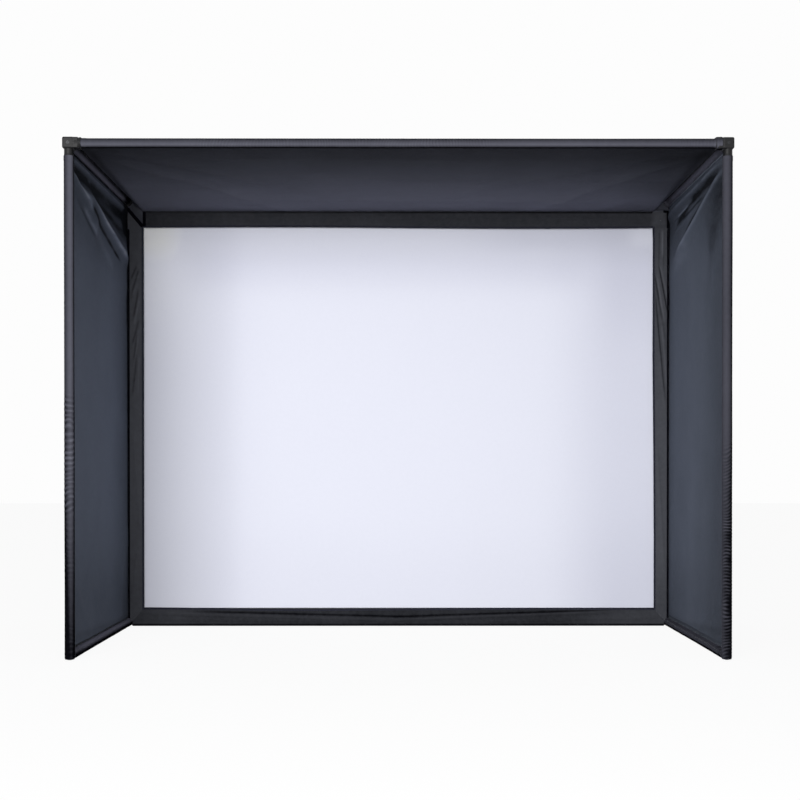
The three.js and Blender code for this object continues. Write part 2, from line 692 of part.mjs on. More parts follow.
add('front_header_sleeve', plainSleeve(FRAME_WIDTH - 2 * ARM_EDGE), SLEEVE,
  new THREE.Vector3(-HALF_WIDTH + ARM_EDGE, -HALF_DEPTH, TOP), alongX);
add('rear_header_sleeve',
  geometryOf(lacedSleeve(-HALF_WIDTH + ARM_EDGE, HALF_WIDTH - ARM_EDGE, 0, FRAME_WIDTH)), SLEEVE,
  new THREE.Vector3(0, HALF_DEPTH, TOP), alongXFlipped);
add('rear_bottom_sleeve',
  geometryOf(lacedSleeve(-HALF_WIDTH + SLEEVE_EDGE, HALF_WIDTH - SLEEVE_EDGE, 0, FRAME_WIDTH)), SLEEVE,
  new THREE.Vector3(0, HALF_DEPTH, BOTTOM), alongX);

for (const side of SIDES) {
  const x = side.sign * HALF_WIDTH;
  const frontBody = solid(plainSleeve(POST_SLEEVE_TOP));
  add(`${side.name}_front_post_sleeve`, geometryOf(withFootHoles(frontBody, [axis('y')])), SLEEVE,
    new THREE.Vector3(x, -HALF_DEPTH, 0));
  const rearBody = lacedSleeve(0, POST_SLEEVE_TOP, MIDDLE, FRAME_HEIGHT);
  // The strip's side, local X, is turned to face the screen.
  const rearTurn = basis(axis('z'), axis('x', -side.sign));
  const railHole = axis('y', side.sign);
  add(`${side.name}_rear_post_sleeve`, geometryOf(withFootHoles(rearBody, [axis('x'), railHole])),
    SLEEVE, new THREE.Vector3(x, HALF_DEPTH, 0), rearTurn);
  add(`${side.name}_top_rail_sleeve`, plainSleeve(FRAME_DEPTH - 2 * ARM_EDGE), SLEEVE,
    new THREE.Vector3(x, -HALF_DEPTH + ARM_EDGE, TOP), alongY);
  add(`${side.name}_bottom_rail_sleeve`, plainSleeve(FRAME_DEPTH - 2 * SLEEVE_EDGE), SLEEVE,
    new THREE.Vector3(x, -HALF_DEPTH + SLEEVE_EDGE, BOTTOM), alongY);
  add(`${side.name}_side_panel`, sidePanel(side.sign, side.sign < 0 ? LEFT_FOLDS : RIGHT_FOLDS), PANEL);
  add(`${side.name}_border_flap`, sideFlap(side.sign), FLAP);
}
add('roof_panel', roofPanel(), PANEL);
add('top_border_flap', topFlap(), FLAP);
add('bottom_border_flap', bottomFlap(), FLAP);

// ---------------------------------------------------------------- the screen

add('impact_screen', impactScreen(), SCREEN);
for (const edge of LACED_EDGES) {
  add(`${edge.name}_screen_hem`, screenHem(edge), WEBBING);
  add(`${edge.name}_shock_cord`, lacing(edge), ELASTIC);
}

export default net;
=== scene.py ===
"""Golf practice net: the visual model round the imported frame. Metres, +Z up, screen at +Y."""

import json
import math

import bmesh
import bpy
import numpy as np
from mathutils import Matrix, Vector


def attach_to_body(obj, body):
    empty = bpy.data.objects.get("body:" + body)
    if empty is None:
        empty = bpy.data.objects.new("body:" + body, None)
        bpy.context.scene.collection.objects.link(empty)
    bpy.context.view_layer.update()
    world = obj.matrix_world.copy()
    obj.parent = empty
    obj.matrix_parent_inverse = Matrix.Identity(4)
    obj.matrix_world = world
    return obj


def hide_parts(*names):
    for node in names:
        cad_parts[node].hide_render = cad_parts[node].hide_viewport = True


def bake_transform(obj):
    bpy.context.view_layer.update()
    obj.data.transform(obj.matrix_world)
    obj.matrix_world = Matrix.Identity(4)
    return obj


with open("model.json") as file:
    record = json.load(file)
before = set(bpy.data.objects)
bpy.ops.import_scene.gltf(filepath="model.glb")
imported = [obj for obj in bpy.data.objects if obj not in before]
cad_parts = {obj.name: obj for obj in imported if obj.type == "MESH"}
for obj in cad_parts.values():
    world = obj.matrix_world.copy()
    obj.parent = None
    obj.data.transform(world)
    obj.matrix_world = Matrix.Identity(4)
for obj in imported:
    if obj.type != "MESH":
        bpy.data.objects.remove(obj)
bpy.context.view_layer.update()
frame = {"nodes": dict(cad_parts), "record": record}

# ---------------------------------------------------------------- places, from the CAD

TUBE_X = 1.575          # tube centre lines
TUBE_Y = 0.739
LOW = 0.023
HIGH = 2.471
SLEEVE_BORE = 0.0222
SLEEVE_RADIUS = 0.023
SOCKET_ARM = 0.060
SOCKET_LIP_RADIUS = 0.029
SLEEVE_START = 0.0605   # from a top corner's centre
RAIL_START = 0.0235     # from a post's centre line, at the floor
FLAP_Y = 0.7091
STRIP_EDGE_INSET = 0.042
STRIP_EYELET_INSET = 0.033
HEM_OUTER_INSET = 0.050
HEM_EYELET_INSET = 0.061
SCREEN_INSET = 0.075
STRIP_END = 0.075
LACING_PITCH = 0.300
CORD_RADIUS = 0.0025
FRONT, REAR = -TUBE_Y, TUBE_Y
HEIGHT = HIGH - LOW
WIDTH = 2 * TUBE_X
DEPTH = 2 * TUBE_Y
MIDDLE = (LOW + HIGH) / 2
SIDES = ((-1, "left"), (1, "right"))
TURN = 2 * math.pi
QUARTER = math.pi / 2

# ---------------------------------------------------------------- camera

CAMERA_PLACE = (-0.0031, -7.4375, 0.9153)
CAMERA_PITCH = -0.46    # degrees above level
CAMERA_YAW = 0.17       # degrees towards +X
CAMERA_LENS = 62.93
CAMERA_SHIFT = (-0.0025, 0.1003)


def make_camera():
    data = bpy.data.cameras.new("camera")
    data.lens = CAMERA_LENS
    data.sensor_width = 36
    data.shift_x, data.shift_y = CAMERA_SHIFT
    data.clip_end = 200
    camera = bpy.data.objects.new("camera", data)
    camera.location = CAMERA_PLACE
    camera.rotation_euler = (math.radians(90 + CAMERA_PITCH), 0, math.radians(-CAMERA_YAW))
    bpy.context.scene.collection.objects.link(camera)
    bpy.context.scene.camera = camera


make_camera()

# ---------------------------------------------------------------- node helpers


def node(tree, kind, inputs=None, **settings):
    """Adds a shader node; an input takes a value or another node's output."""
    made = tree.nodes.new(kind)
    for key, value in settings.items():
        setattr(made, key, value)
    for key, value in (inputs or {}).items():
        if isinstance(value, bpy.types.NodeSocket):
            tree.links.new(value, made.inputs[key])
        else:
            made.inputs[key].default_value = value
    return made


def blank_material(name):
    material = bpy.data.materials.new(name)
    material.use_nodes = True
    material.node_tree.nodes.clear()
    return material, material.node_tree


def colour(value):
    """Linear RGBA from a linear (r, g, b)."""
    return (*value, 1.0)


def maths(tree, operation, a, b=0.0, c=0.0):
    return node(tree, "ShaderNodeMath", {0: a, 1: b, 2: c}, operation=operation).outputs[0]


def scaled(tree, value, factor, extra=0.0):
    return maths(tree, "MULTIPLY_ADD", value, factor, extra)


def waves(tree, value, length):
    return maths(tree, "SINE", maths(tree, "MULTIPLY", value, TURN / length))


def mixed(tree, factor, a, b):
    return node(tree, "ShaderNodeMix", {0: factor, 6: a, 7: b}, data_type="RGBA").outputs[2]


def ramp(tree, factor, stops):
    made = node(tree, "ShaderNodeValToRGB", {0: factor})
    for element, (place, value) in zip(made.color_ramp.elements, stops):
        element.position = place
        element.color = colour(value)
    return made.outputs[0]


def noise(tree, vector, scale, detail=3.0):
    return node(tree, "ShaderNodeTexNoise", {"Vector": vector, "Scale": scale, "Detail": detail,
                                             "Roughness": 0.55}).outputs["Fac"]


def bump(tree, strength, distance, height, under=None):
    made = node(tree, "ShaderNodeBump", {"Strength": strength, "Distance": distance, "Height": height})
    if under is not None:
        tree.links.new(under, made.inputs["Normal"])
    return made.outputs[0]


def stretched(tree, vector, scale):
    return node(tree, "ShaderNodeMapping", {0: vector, 3: scale}).outputs[0]


def object_place(tree):
    return node(tree, "ShaderNodeTexCoord").outputs["Object"]


def cloth_place(tree):
    """Metres along and across the cloth, from its UV map."""
    return node(tree, "ShaderNodeUVMap", uv_map="cloth").outputs[0]


def split(tree, vector):
    return node(tree, "ShaderNodeSeparateXYZ", {0: vector}).outputs[:2]


def finish_material(tree, base, roughness, normal, **constants):
    """Principled surface; a constant goes straight onto the shader's own socket."""
    shader = node(tree, "ShaderNodeBsdfPrincipled",
                  {"Base Color": base, "Roughness": roughness, "Normal": normal})
    for key, value in constants.items():
        shader.inputs[key.replace("_", " ")].default_value = value
    node(tree, "ShaderNodeOutputMaterial", {"Surface": shader.outputs[0]})


# ---------------------------------------------------------------- materials


def cloth_material(name, dark, light, ridge=None, thread=0.0011, relief=0.5, sheen=0.0, rough=(0.78, 0.92),
                   cloudiness=0.5, texture=0.3, specular=0.0):
    """Plain-woven cloth.

    Its colour runs from `dark` to `light` with soft clouds, slubs in both thread directions
    and the weave itself, whose strength is `texture`. A per-point attribute paints light and
    shade on: painted highlights on the tops of folds and gathers, painted shade in their roots
    and painted shading over whole pieces; 0.5 is neither. Above 0.85 it goes on to the
    painted highlight colour `ridge`.
    """
    material, tree = blank_material(name)
    uv, where = cloth_place(tree), object_place(tree)
    cloud = noise(tree, where, 3.1, 4.0)
    fine = noise(tree, where, 46.0)
    slub = maths(tree, "ADD", *[noise(tree, stretched(tree, uv, scale), 1.0, 2.0)
                                for scale in ((900.0, 22.0, 1.0), (22.0, 900.0, 1.0))])
    weave = maths(tree, "MULTIPLY", *[waves(tree, each, thread) for each in split(tree, uv)])
    weave = scaled(tree, weave, 0.5, 0.5)
    # Painted light and shade, from a per-point attribute of the mesh.
    share = node(tree, "ShaderNodeAttribute", attribute_name="crest").outputs["Fac"]
    for pattern, middle, strength in ((cloud, 0.5, cloudiness), (fine, 0.5, 0.5), (slub, 1.0, 0.35),
                                      (weave, 0.5, 0.45)):
        share = scaled(tree, maths(tree, "SUBTRACT", pattern, middle), strength * texture, share)
    base = ramp(tree, share, ((0.0, dark), (1.0, light)))
    if ridge:
        base = mixed(tree, scaled(tree, share, 2.0, -1.7), base, colour(ridge))
    threads = bump(tree, relief, thread * 0.22, scaled(tree, slub, 0.35, weave))
    normal = bump(tree, 0.35, 0.0012, noise(tree, where, 21.0, 4.0), threads)
    finish_material(tree, base, scaled(tree, fine, rough[1] - rough[0], rough[0]), normal,
                    Sheen_Weight=sheen, Sheen_Roughness=0.45, Specular_IOR_Level=specular)
    return material


def webbing_material(name, dark, light, rib=0.0016, yarn=0.0009):
    """Narrow woven webbing: ribs across its length, and a herringbone lean on each of them."""
    material, tree = blank_material(name)
    along, across = split(tree, cloth_place(tree))
    ribs = waves(tree, scaled(tree, maths(tree, "PINGPONG", across, 0.004), 0.8, along), rib)
    height = scaled(tree, waves(tree, across, yarn), 0.3, ribs)
    cloud = noise(tree, object_place(tree), 30.0)
    base = ramp(tree, scaled(tree, height, 0.14, cloud), ((0.2, dark), (0.85, light)))
    finish_material(tree, base, scaled(tree, cloud, 0.15, 0.72), bump(tree, 0.6, 0.0003, height),
                    Sheen_Weight=0.2)
    return material


def cord_material(name, dark, fleck, strand=0.0026):
    """Braided sleeve of an elastic cord: two sets of diagonal strands, with pale flecks."""
    material, tree = blank_material(name)
    along, around = split(tree, cloth_place(tree))
    along = maths(tree, "MULTIPLY", along, TURN / strand)
    height = maths(tree, "MAXIMUM", *[maths(tree, "SINE", scaled(tree, around, lean * TURN / strand, along))
                                      for lean in (1, -1)])
    spot = noise(tree, object_place(tree), 330.0, 1.0)
    share = maths(tree, "MULTIPLY", maths(tree, "GREATER_THAN", spot, 0.66), 0.6)
    base = mixed(tree, share, colour(dark), colour(fleck))
    finish_material(tree, base, scaled(tree, spot, 0.2, 0.6), bump(tree, 0.7, 0.0004, height),
                    Sheen_Weight=0.15)
    return material


def plastic_material(name, dark, light):
    """Moulded plastic: spark-eroded grain, flow clouds, and edges rubbed paler."""
    material, tree = blank_material(name)
    where = object_place(tree)
    cloud = noise(tree, where, 17.0, 4.0)
    grain = noise(tree, where, 900.0, 2.0)
    edge = node(tree, "ShaderNodeNewGeometry").outputs["Pointiness"]
    rubbed = ramp(tree, edge, ((0.51, (0.0,) * 3), (0.60, (1.0,) * 3)))
    share = scaled(tree, grain, 0.3, maths(tree, "MULTIPLY", cloud, 0.7))
    base = ramp(tree, share, ((0.25, dark), (0.8, light)))
    paler = tuple(min(1.0, 2.2 * each) for each in light)
    base = mixed(tree, maths(tree, "MULTIPLY", rubbed, 0.6), base, colour(paler))
    finish_material(tree, base, scaled(tree, cloud, 0.25, 0.38), bump(tree, 0.25, 0.0002, grain),
                    Specular_IOR_Level=0.2)
    return material


def metal_material(name, base, rough, metallic=1.0, stain=None):
    """Coated or plated metal with fine drawn lines and patchy polish."""
    material, tree = blank_material(name)
    where = object_place(tree)
    patch = noise(tree, where, 24.0, 4.0)
    lines = noise(tree, stretched(tree, where, (400.0, 14.0, 400.0)), 1.0, 2.0)
    share = scaled(tree, lines, 0.4, maths(tree, "MULTIPLY", patch, 0.6))
    darker = stain or tuple(0.6 * each for each in base)
    finish_material(tree, ramp(tree, share, ((0.25, darker), (0.7, base))),
                    scaled(tree, patch, 0.22, rough), bump(tree, 0.15, 0.0001, lines), Metallic=metallic)
    return material


# A cloth's colour runs from its dark colour to its light one as its painted light and shade rise; the third
# colour, where given, is its painted highlight.
BLACK = (0.002, 0.002, 0.003)
SLEEVE = cloth_material("sleeve_fabric", BLACK, (0.104, 0.105, 0.132), (0.150, 0.152, 0.180))
# The rails' sleeves are the sleeve cloth painted lighter, standing in for the light that falls on them.
LIGHTER_SLEEVE = cloth_material("rail_fabric", BLACK, (0.165, 0.164, 0.205), (0.230, 0.228, 0.270))
ROOF = cloth_material("roof_fabric", BLACK, (0.108, 0.113, 0.142), (0.170, 0.175, 0.225), specular=0.05)
BORDER = cloth_material("border_fabric", BLACK, (0.134, 0.139, 0.160), (0.180, 0.185, 0.205))
PANEL = cloth_material("panel_fabric", (0.002, 0.0028, 0.0045), (0.177, 0.203, 0.262),
                       (0.330, 0.345, 0.375), specular=0.06)
# The border's hem, a real piece whose darker colour paints the shadow line at the screen's edge.
HEM_AND_SHADE = cloth_material("border_hem", (0.004, 0.004, 0.009), (0.020, 0.021, 0.036), specular=0.2)
# Black binding tape; its black also paints the deep shade along the junctions it covers.
BINDING_AND_SHADE = cloth_material("binding", (0.0008, 0.0008, 0.0015), (0.004, 0.004, 0.007))
SCREEN = cloth_material("screen_fabric", (0.570, 0.580, 0.690), (0.890, 0.903, 1.000), (0.980, 0.985, 1.000),
                        thread=0.0009, relief=0.35, sheen=0.05, rough=(0.7, 0.8), cloudiness=0.25,
                        texture=0.15, specular=0.2)
WEBBING = webbing_material("webbing", (0.010, 0.010, 0.012), (0.030, 0.031, 0.036))
THREAD = webbing_material("thread", (0.060, 0.063, 0.075), (0.130, 0.135, 0.155), rib=0.0006)
PALE_THREAD = webbing_material("pale_thread", (0.45, 0.46, 0.50), (0.70, 0.72, 0.78), rib=0.0006)
ELASTIC = cord_material("elastic_cord", (0.012, 0.012, 0.014), (0.22, 0.23, 0.26))
MOULDING = plastic_material("moulding", (0.0030, 0.0031, 0.0036), (0.0085, 0.0088, 0.0100))
STEEL = metal_material("steel_tube", (0.030, 0.031, 0.034), 0.32, metallic=0.7)
SPRING = metal_material("spring_steel", (0.60, 0.61, 0.63), 0.18)
PLATED = metal_material("eyelet_metal", (0.33, 0.33, 0.34), 0.2, stain=(0.12, 0.12, 0.12))
CAD_FINISH = {"steel_tube": STEEL, "spring_steel": SPRING, "moulding": MOULDING}
SCREEN_MIDDLE = 0.75    # painted light and shade level of the screen's middle

# ---------------------------------------------------------------- numbers on grids


def smooth(t):
    t = np.clip(t, 0.0, 1.0)
    return t * t * (3 - 2 * t)


def rise(x, start, span):
    """0 up to `start` and 1 from `span` beyond it; below zero, `span` runs the other way."""
    return smooth((x - start) / span)


def bell(x, middle, width):
    return np.exp(-((x - middle) / width)**2)


def lattice_noise(x, y, seed, wrap=64):
    """Smooth noise in 0..1 over two coordinates; `wrap` cells make y go round a tube."""
    table = np.random.default_rng(seed).random((64, 64))
    x, y = np.broadcast_arrays(np.asarray(x, float), np.asarray(y, float))
    xi, yi = np.floor(x).astype(int), np.floor(y).astype(int)
    fx, fy = smooth(x - xi), smooth(y - yi)
    x0, x1 = xi % 64, (xi + 1) % 64
    y0, y1 = yi % wrap, (yi + 1) % wrap
    return ((table[x0, y0] * (1 - fx) + table[x1, y0] * fx) * (1 - fy)
            + (table[x0, y1] * (1 - fx) + table[x1, y1] * fx) * fy)


def crumple(x, y, seed):
    """Three sizes of noise, -1..1."""
    return 1.6 * sum((lattice_noise(x * 2**k, y * 2**k, seed + k) - 0.5) / 1.8**k for k in range(3))


def beside(a, b, start, end):
    """Share of the way along a straight line, and the distance beside it."""
    run = np.subtract(end, start)
    length = math.hypot(*run)
    along = ((a - start[0]) * run[0] + (b - start[1]) * run[1]) / length**2
    return along, ((a - start[0]) * run[1] - (b - start[1]) * run[0]) / length


def crease(a, b, start, end, width, height, grow=0.0, skew=0.0, lead=0.12):
    """Height of one fold whose ridge runs from `start` to `end`, steeper on one flank."""
    along, aside = beside(a, b, start, end)
    wide = width * (1 + grow * np.clip(along, 0, 1)) * (1 + skew * np.tanh(aside / width))
    fade = smooth((along + lead) / (2 * lead)) * smooth((1 - along) / 0.3 + 0.5)
    return height * fade * np.exp(1 - np.sqrt(1 + 3 * (aside / wide)**2))


def creases(a, b, folds, **how):
    return sum(crease(a, b, *each, **how) for each in folds)


def strokes(a, b, lines):
    """Sum of the tones along straight lines: (start, end, width, tone)."""
    total = np.zeros(np.broadcast(a, b).shape)
    for start, end, width, tone in lines:
        along, aside = beside(a, b, start, end)
        ends = smooth(along / 0.24 + 0.5) * smooth((1 - along) / 0.24 + 0.5)
        total = total + tone * bell(aside, 0, width) * ends
    return total


# ---------------------------------------------------------------- mesh helpers


def make(name, points, faces, material, body="frame", slot=None, uv=None, loop_uv=None, sharp=40, crest=None):
    """Adds a mesh piece. `uv` is per point, `loop_uv` per face corner, both in metres."""
    mesh = bpy.data.meshes.new(name)
    mesh.from_pydata(np.asarray(points).tolist(), [], [np.asarray(f).tolist() for f in faces])
    if uv is not None:
        index = np.empty(len(mesh.loops), int)
        mesh.loops.foreach_get("vertex_index", index)
        loop_uv = np.asarray(uv)[index]
    if loop_uv is not None:
        layer = mesh.uv_layers.new(name="cloth")
        layer.data.foreach_set("uv", np.asarray(loop_uv, np.float32).ravel())
    attribute = mesh.attributes.new("crest", "FLOAT", "POINT")
    tone = np.full(len(points), 0.5) if crest is None else crest
    attribute.data.foreach_set("value", np.asarray(tone, np.float32).ravel())
    mesh.polygons.foreach_set("use_smooth", [True] * len(mesh.polygons))
    mesh.set_sharp_from_angle(angle=math.radians(sharp))
    mesh.materials.append(material)
    mesh.update()
    made = bpy.data.objects.new(name, mesh)
    bpy.context.scene.collection.objects.link(made)
    if body:
        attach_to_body(made, body)
    return made


def unit(vectors):
    return vectors / np.maximum(np.linalg.norm(vectors, axis=-1, keepdims=True), 1e-12)


def grid(first, second, indexing="xy"):
    return np.meshgrid(np.asarray(first), np.asarray(second), indexing=indexing)


def pairs(a, b):
    return np.stack([a, b], -1)


def sheet_mesh(points, thickness, keep=None):
    """Closed cloth round a grid of mid-surface points, with a rim round its edge and holes."""
    rows, columns = points.shape[:2]
    normals = unit(np.cross(np.gradient(points, axis=1), np.gradient(points, axis=0)))
    lift = normals * thickness / 2
    both = np.concatenate([(points + lift).reshape(-1, 3), (points - lift).reshape(-1, 3)])
    j, i = grid(np.arange(rows - 1), np.arange(columns - 1), "ij")
    corner = j * columns + i
    quads = np.stack([corner, corner + 1, corner + 1 + columns, corner + columns], -1).reshape(-1, 4)
    if keep is not None:
        quads = quads[keep.ravel()]
    count = rows * columns
    edges = np.concatenate([pairs(quads[:, k], quads[:, (k + 1) % 4]) for k in range(4)])
    forward = edges[:, 0] * count + edges[:, 1]
    backward = edges[:, 1] * count + edges[:, 0]
    a, b = edges[~np.isin(forward, backward)].T
    rim = np.stack([b, a, a + count, b + count], -1)
    return both, np.concatenate([quads, quads[:, ::-1] + count, rim])


def cloth_piece(name, points, flat, thickness, material, keep=None, crest=0.5, outside=1.0, flip=False,
                **rest):
    """Sheet of cloth over a grid of points; `flat` gives each point's (u, v) in metres.

    `outside` is the share of the painted light and shade's contrast that the first, outer face has,
    and `flip` turns the sheet over, so that its other face is the first.
    """
    tone = np.clip(np.broadcast_to(crest, points.shape[:2]), 0, 1.5)
    if flip:
        points, flat, tone = points[:, ::-1], flat[:, ::-1], tone[:, ::-1]
    both, faces = sheet_mesh(points, thickness, keep)
    uv = np.tile(np.asarray(flat).reshape(-1, 2), (2, 1))
    tone = np.concatenate([0.5 + outside * (tone.ravel() - 0.5), tone.ravel()])
    used = np.unique(faces)
    place = np.full(len(both), -1)
    place[used] = np.arange(len(used))
    return make(name, both[used], place[faces], material, uv=uv[used], crest=tone[used], **rest)


def joined(parts):
    """Several (points, faces, uv) shells as one; faces may be of any size."""
    points, faces, uvs, start = [], [], [], 0
    for each_points, each_faces, each_uv in parts:
        points.append(each_points)
        uvs.append(each_uv)
        faces.extend((np.asarray(face) + start).tolist() for face in each_faces)
        start += len(each_points)
    return np.concatenate(points), faces, np.concatenate(uvs)


def ring_faces(rows, sides, closed=False):
    """Quads between rings of points, with each corner's unwrapped column and its ring."""
    j, i = grid(np.arange(rows if closed else rows - 1), np.arange(sides), "ij")
    n, m = (i + 1) % sides, (j + 1) % rows
    faces = (j * sides + i, j * sides + n, m * sides + n, m * sides + i)
    return [np.stack(each, -1).reshape(-1, 4) for each in (faces, (i, i + 1, i + 1, i), (j, j, m, m))]


def end_caps(rows, sides):
    """The two faces that close a stack of rings."""
    last = (rows - 1) * sides
    return [list(range(sides))[::-1], list(range(last, last + sides))]


def ring_angles(sides):
    return np.arange(sides) * 2 * math.pi / sides


def distances(path):
    """Distance of each point of a path from its start."""
    return np.concatenate([[0], np.cumsum(np.linalg.norm(np.diff(path, axis=0), axis=1))])


def tube_along(path, radius, sides=10):
    """Round closed tube along a path, with its UVs in metres along and around."""
    heading = unit(np.gradient(path, axis=0))
    across = np.empty_like(path)
    last = np.array([1.0, 0, 0]) if abs(heading[0][0]) < 0.9 else np.array([0, 0, 1.0])
    for k, ahead in enumerate(heading):
        last = unit(last - ahead * np.dot(last, ahead))
        across[k] = last
    other = np.cross(heading, across)
    angle = ring_angles(sides)
    ring = (np.cos(angle)[None, :, None] * across[:, None] + np.sin(angle)[None, :, None] * other[:, None])
    points = (path[:, None] + ring * radius).reshape(-1, 3)
    faces = ring_faces(len(path), sides)[0].tolist() + end_caps(len(path), sides)
    uv = np.stack(np.broadcast_arrays(distances(path)[:, None], (angle * radius)[None, :]), -1)
    return points, faces, uv.reshape(-1, 2)


def rounded_path(points, radius, steps=6):
    """Path through straight stretches with each corner rounded off."""
    points = np.asarray(points, float)
    out = [points[0]]
    for before, here, after in zip(points, points[1:], points[2:]):
        first, second = before - here, after - here
        reach = min(radius, 0.48 * np.linalg.norm(first), 0.48 * np.linalg.norm(second))
        start, end = here + unit(first) * reach, here + unit(second) * reach
        for t in np.linspace(0, 1, steps):
            out.append((1 - t)**2 * start + 2 * t * (1 - t) * here + t**2 * end)
    out.append(points[-1])
    return np.asarray(out)


STITCH_RADIUS = 0.00055


def stitch_parts(line, normal, pitch=0.0085, length=0.0062, lift=0.0):
    """Thread along a line: one small spindle for each stitch, lying on the surface."""
    line = np.asarray(line, float)
    run = distances(line)
    centres = np.arange(pitch / 2, run[-1] - pitch / 2, pitch)

    def between_points(values, places):
        return np.stack([np.interp(places, run, values[:, k]) for k in range(3)], -1)

    along = unit(between_points(line, centres + 0.001) - between_points(line, centres - 0.001))
    normal = np.broadcast_to(np.asarray(normal, float), line.shape)
    up = unit(between_points(normal, centres))
    side = np.cross(up, along)
    at = between_points(line, centres) + up * lift
    side, rise_up = side * STITCH_RADIUS, up * STITCH_RADIUS
    spindle = [at - along * length / 2, at + side, at + rise_up, at - side, at - rise_up,
               at + along * length / 2]
    points = np.stack(spindle, 1).reshape(-1, 3)
    shape = np.array([(0, 2, 1), (0, 3, 2), (0, 4, 3), (0, 1, 4), (5, 1, 2), (5, 2, 3), (5, 3, 4), (5, 4, 1)])
    faces = (shape[None] + 6 * np.arange(len(at))[:, None, None]).reshape(-1, 3)
    uv = pairs(np.repeat(centres, 6), np.tile([0, 0, 0.001, 0, 0, 0.0], len(at)))
    return points, faces, uv


def stitching(name, lines, material=THREAD, slot="sleeve_fabric", body="frame", **how):
    """All the stitches of one seam family as one piece; a line is (points, normal)."""
    points, faces, uv = joined([stitch_parts(line, normal, **how) for line, normal in lines])
    return make(name, points, faces, material, body=body, slot=slot, uv=uv)


# ---------------------------------------------------------------- sleeves

RING = 28                   # points round a sleeve
SEAM_WIDTH = 0.55           # of the closing seam's lap, in radians
OPEN_HEM = 0.022
FLOOR_CLEAR = 0.0006
LINING = 0.0008             # cloth's thickness where it is pulled over a fitting
LAP_HEIGHT, HEM_HEIGHT = 0.0011, 0.0009


def angle_from(theta, middle):
    """Signed angle from `middle`, -pi..pi."""
    return np.angle(np.exp(1j * (theta - middle)))


def gathers(s, theta, pitch, seed, slant=0.0, face=0.0):
    """Ribs of gathered cloth round a tube, 0..1: they wander, lean, fork and fade.

    At the angle `face` they rise by `slant` of their pitch in each radian."""
    turn = theta / (2 * math.pi)
    wander = (1.5 * lattice_noise(s / 0.19, 3 * turn, seed, 3)
              + 0.7 * lattice_noise(s / 0.06, 4 * turn, seed + 1, 4))
    lean = 0.22 * np.sin(theta + 9 * lattice_noise(s / 0.3, 0 * turn, seed + 2))
    lean = lean - slant * np.sin(theta - face)
    wave = 0.5 + 0.5 * np.cos(2 * math.pi * (s / pitch + wander + lean))
    strength = 0.25 + 0.75 * lattice_noise(s / 0.03, 5 * turn, seed + 3, 5)
    small = 0.5 + 0.5 * np.cos(2 * math.pi * (2.3 * s / pitch - wander + 2 * turn))
    return np.clip(strength * wave**1.5 + 0.18 * small, 0, 1.15)


def amount(s, base, patches):
    """How deep the gathers are along a sleeve; a patch is (from, to, depth)."""
    total = np.full_like(s, base)
    for start, end, depth in patches:
        share = smooth((s - start) / 0.08 + 0.5) * smooth((end - s) / 0.08 + 0.5)
        total = np.maximum(total, base + (depth - base) * share)
    return total


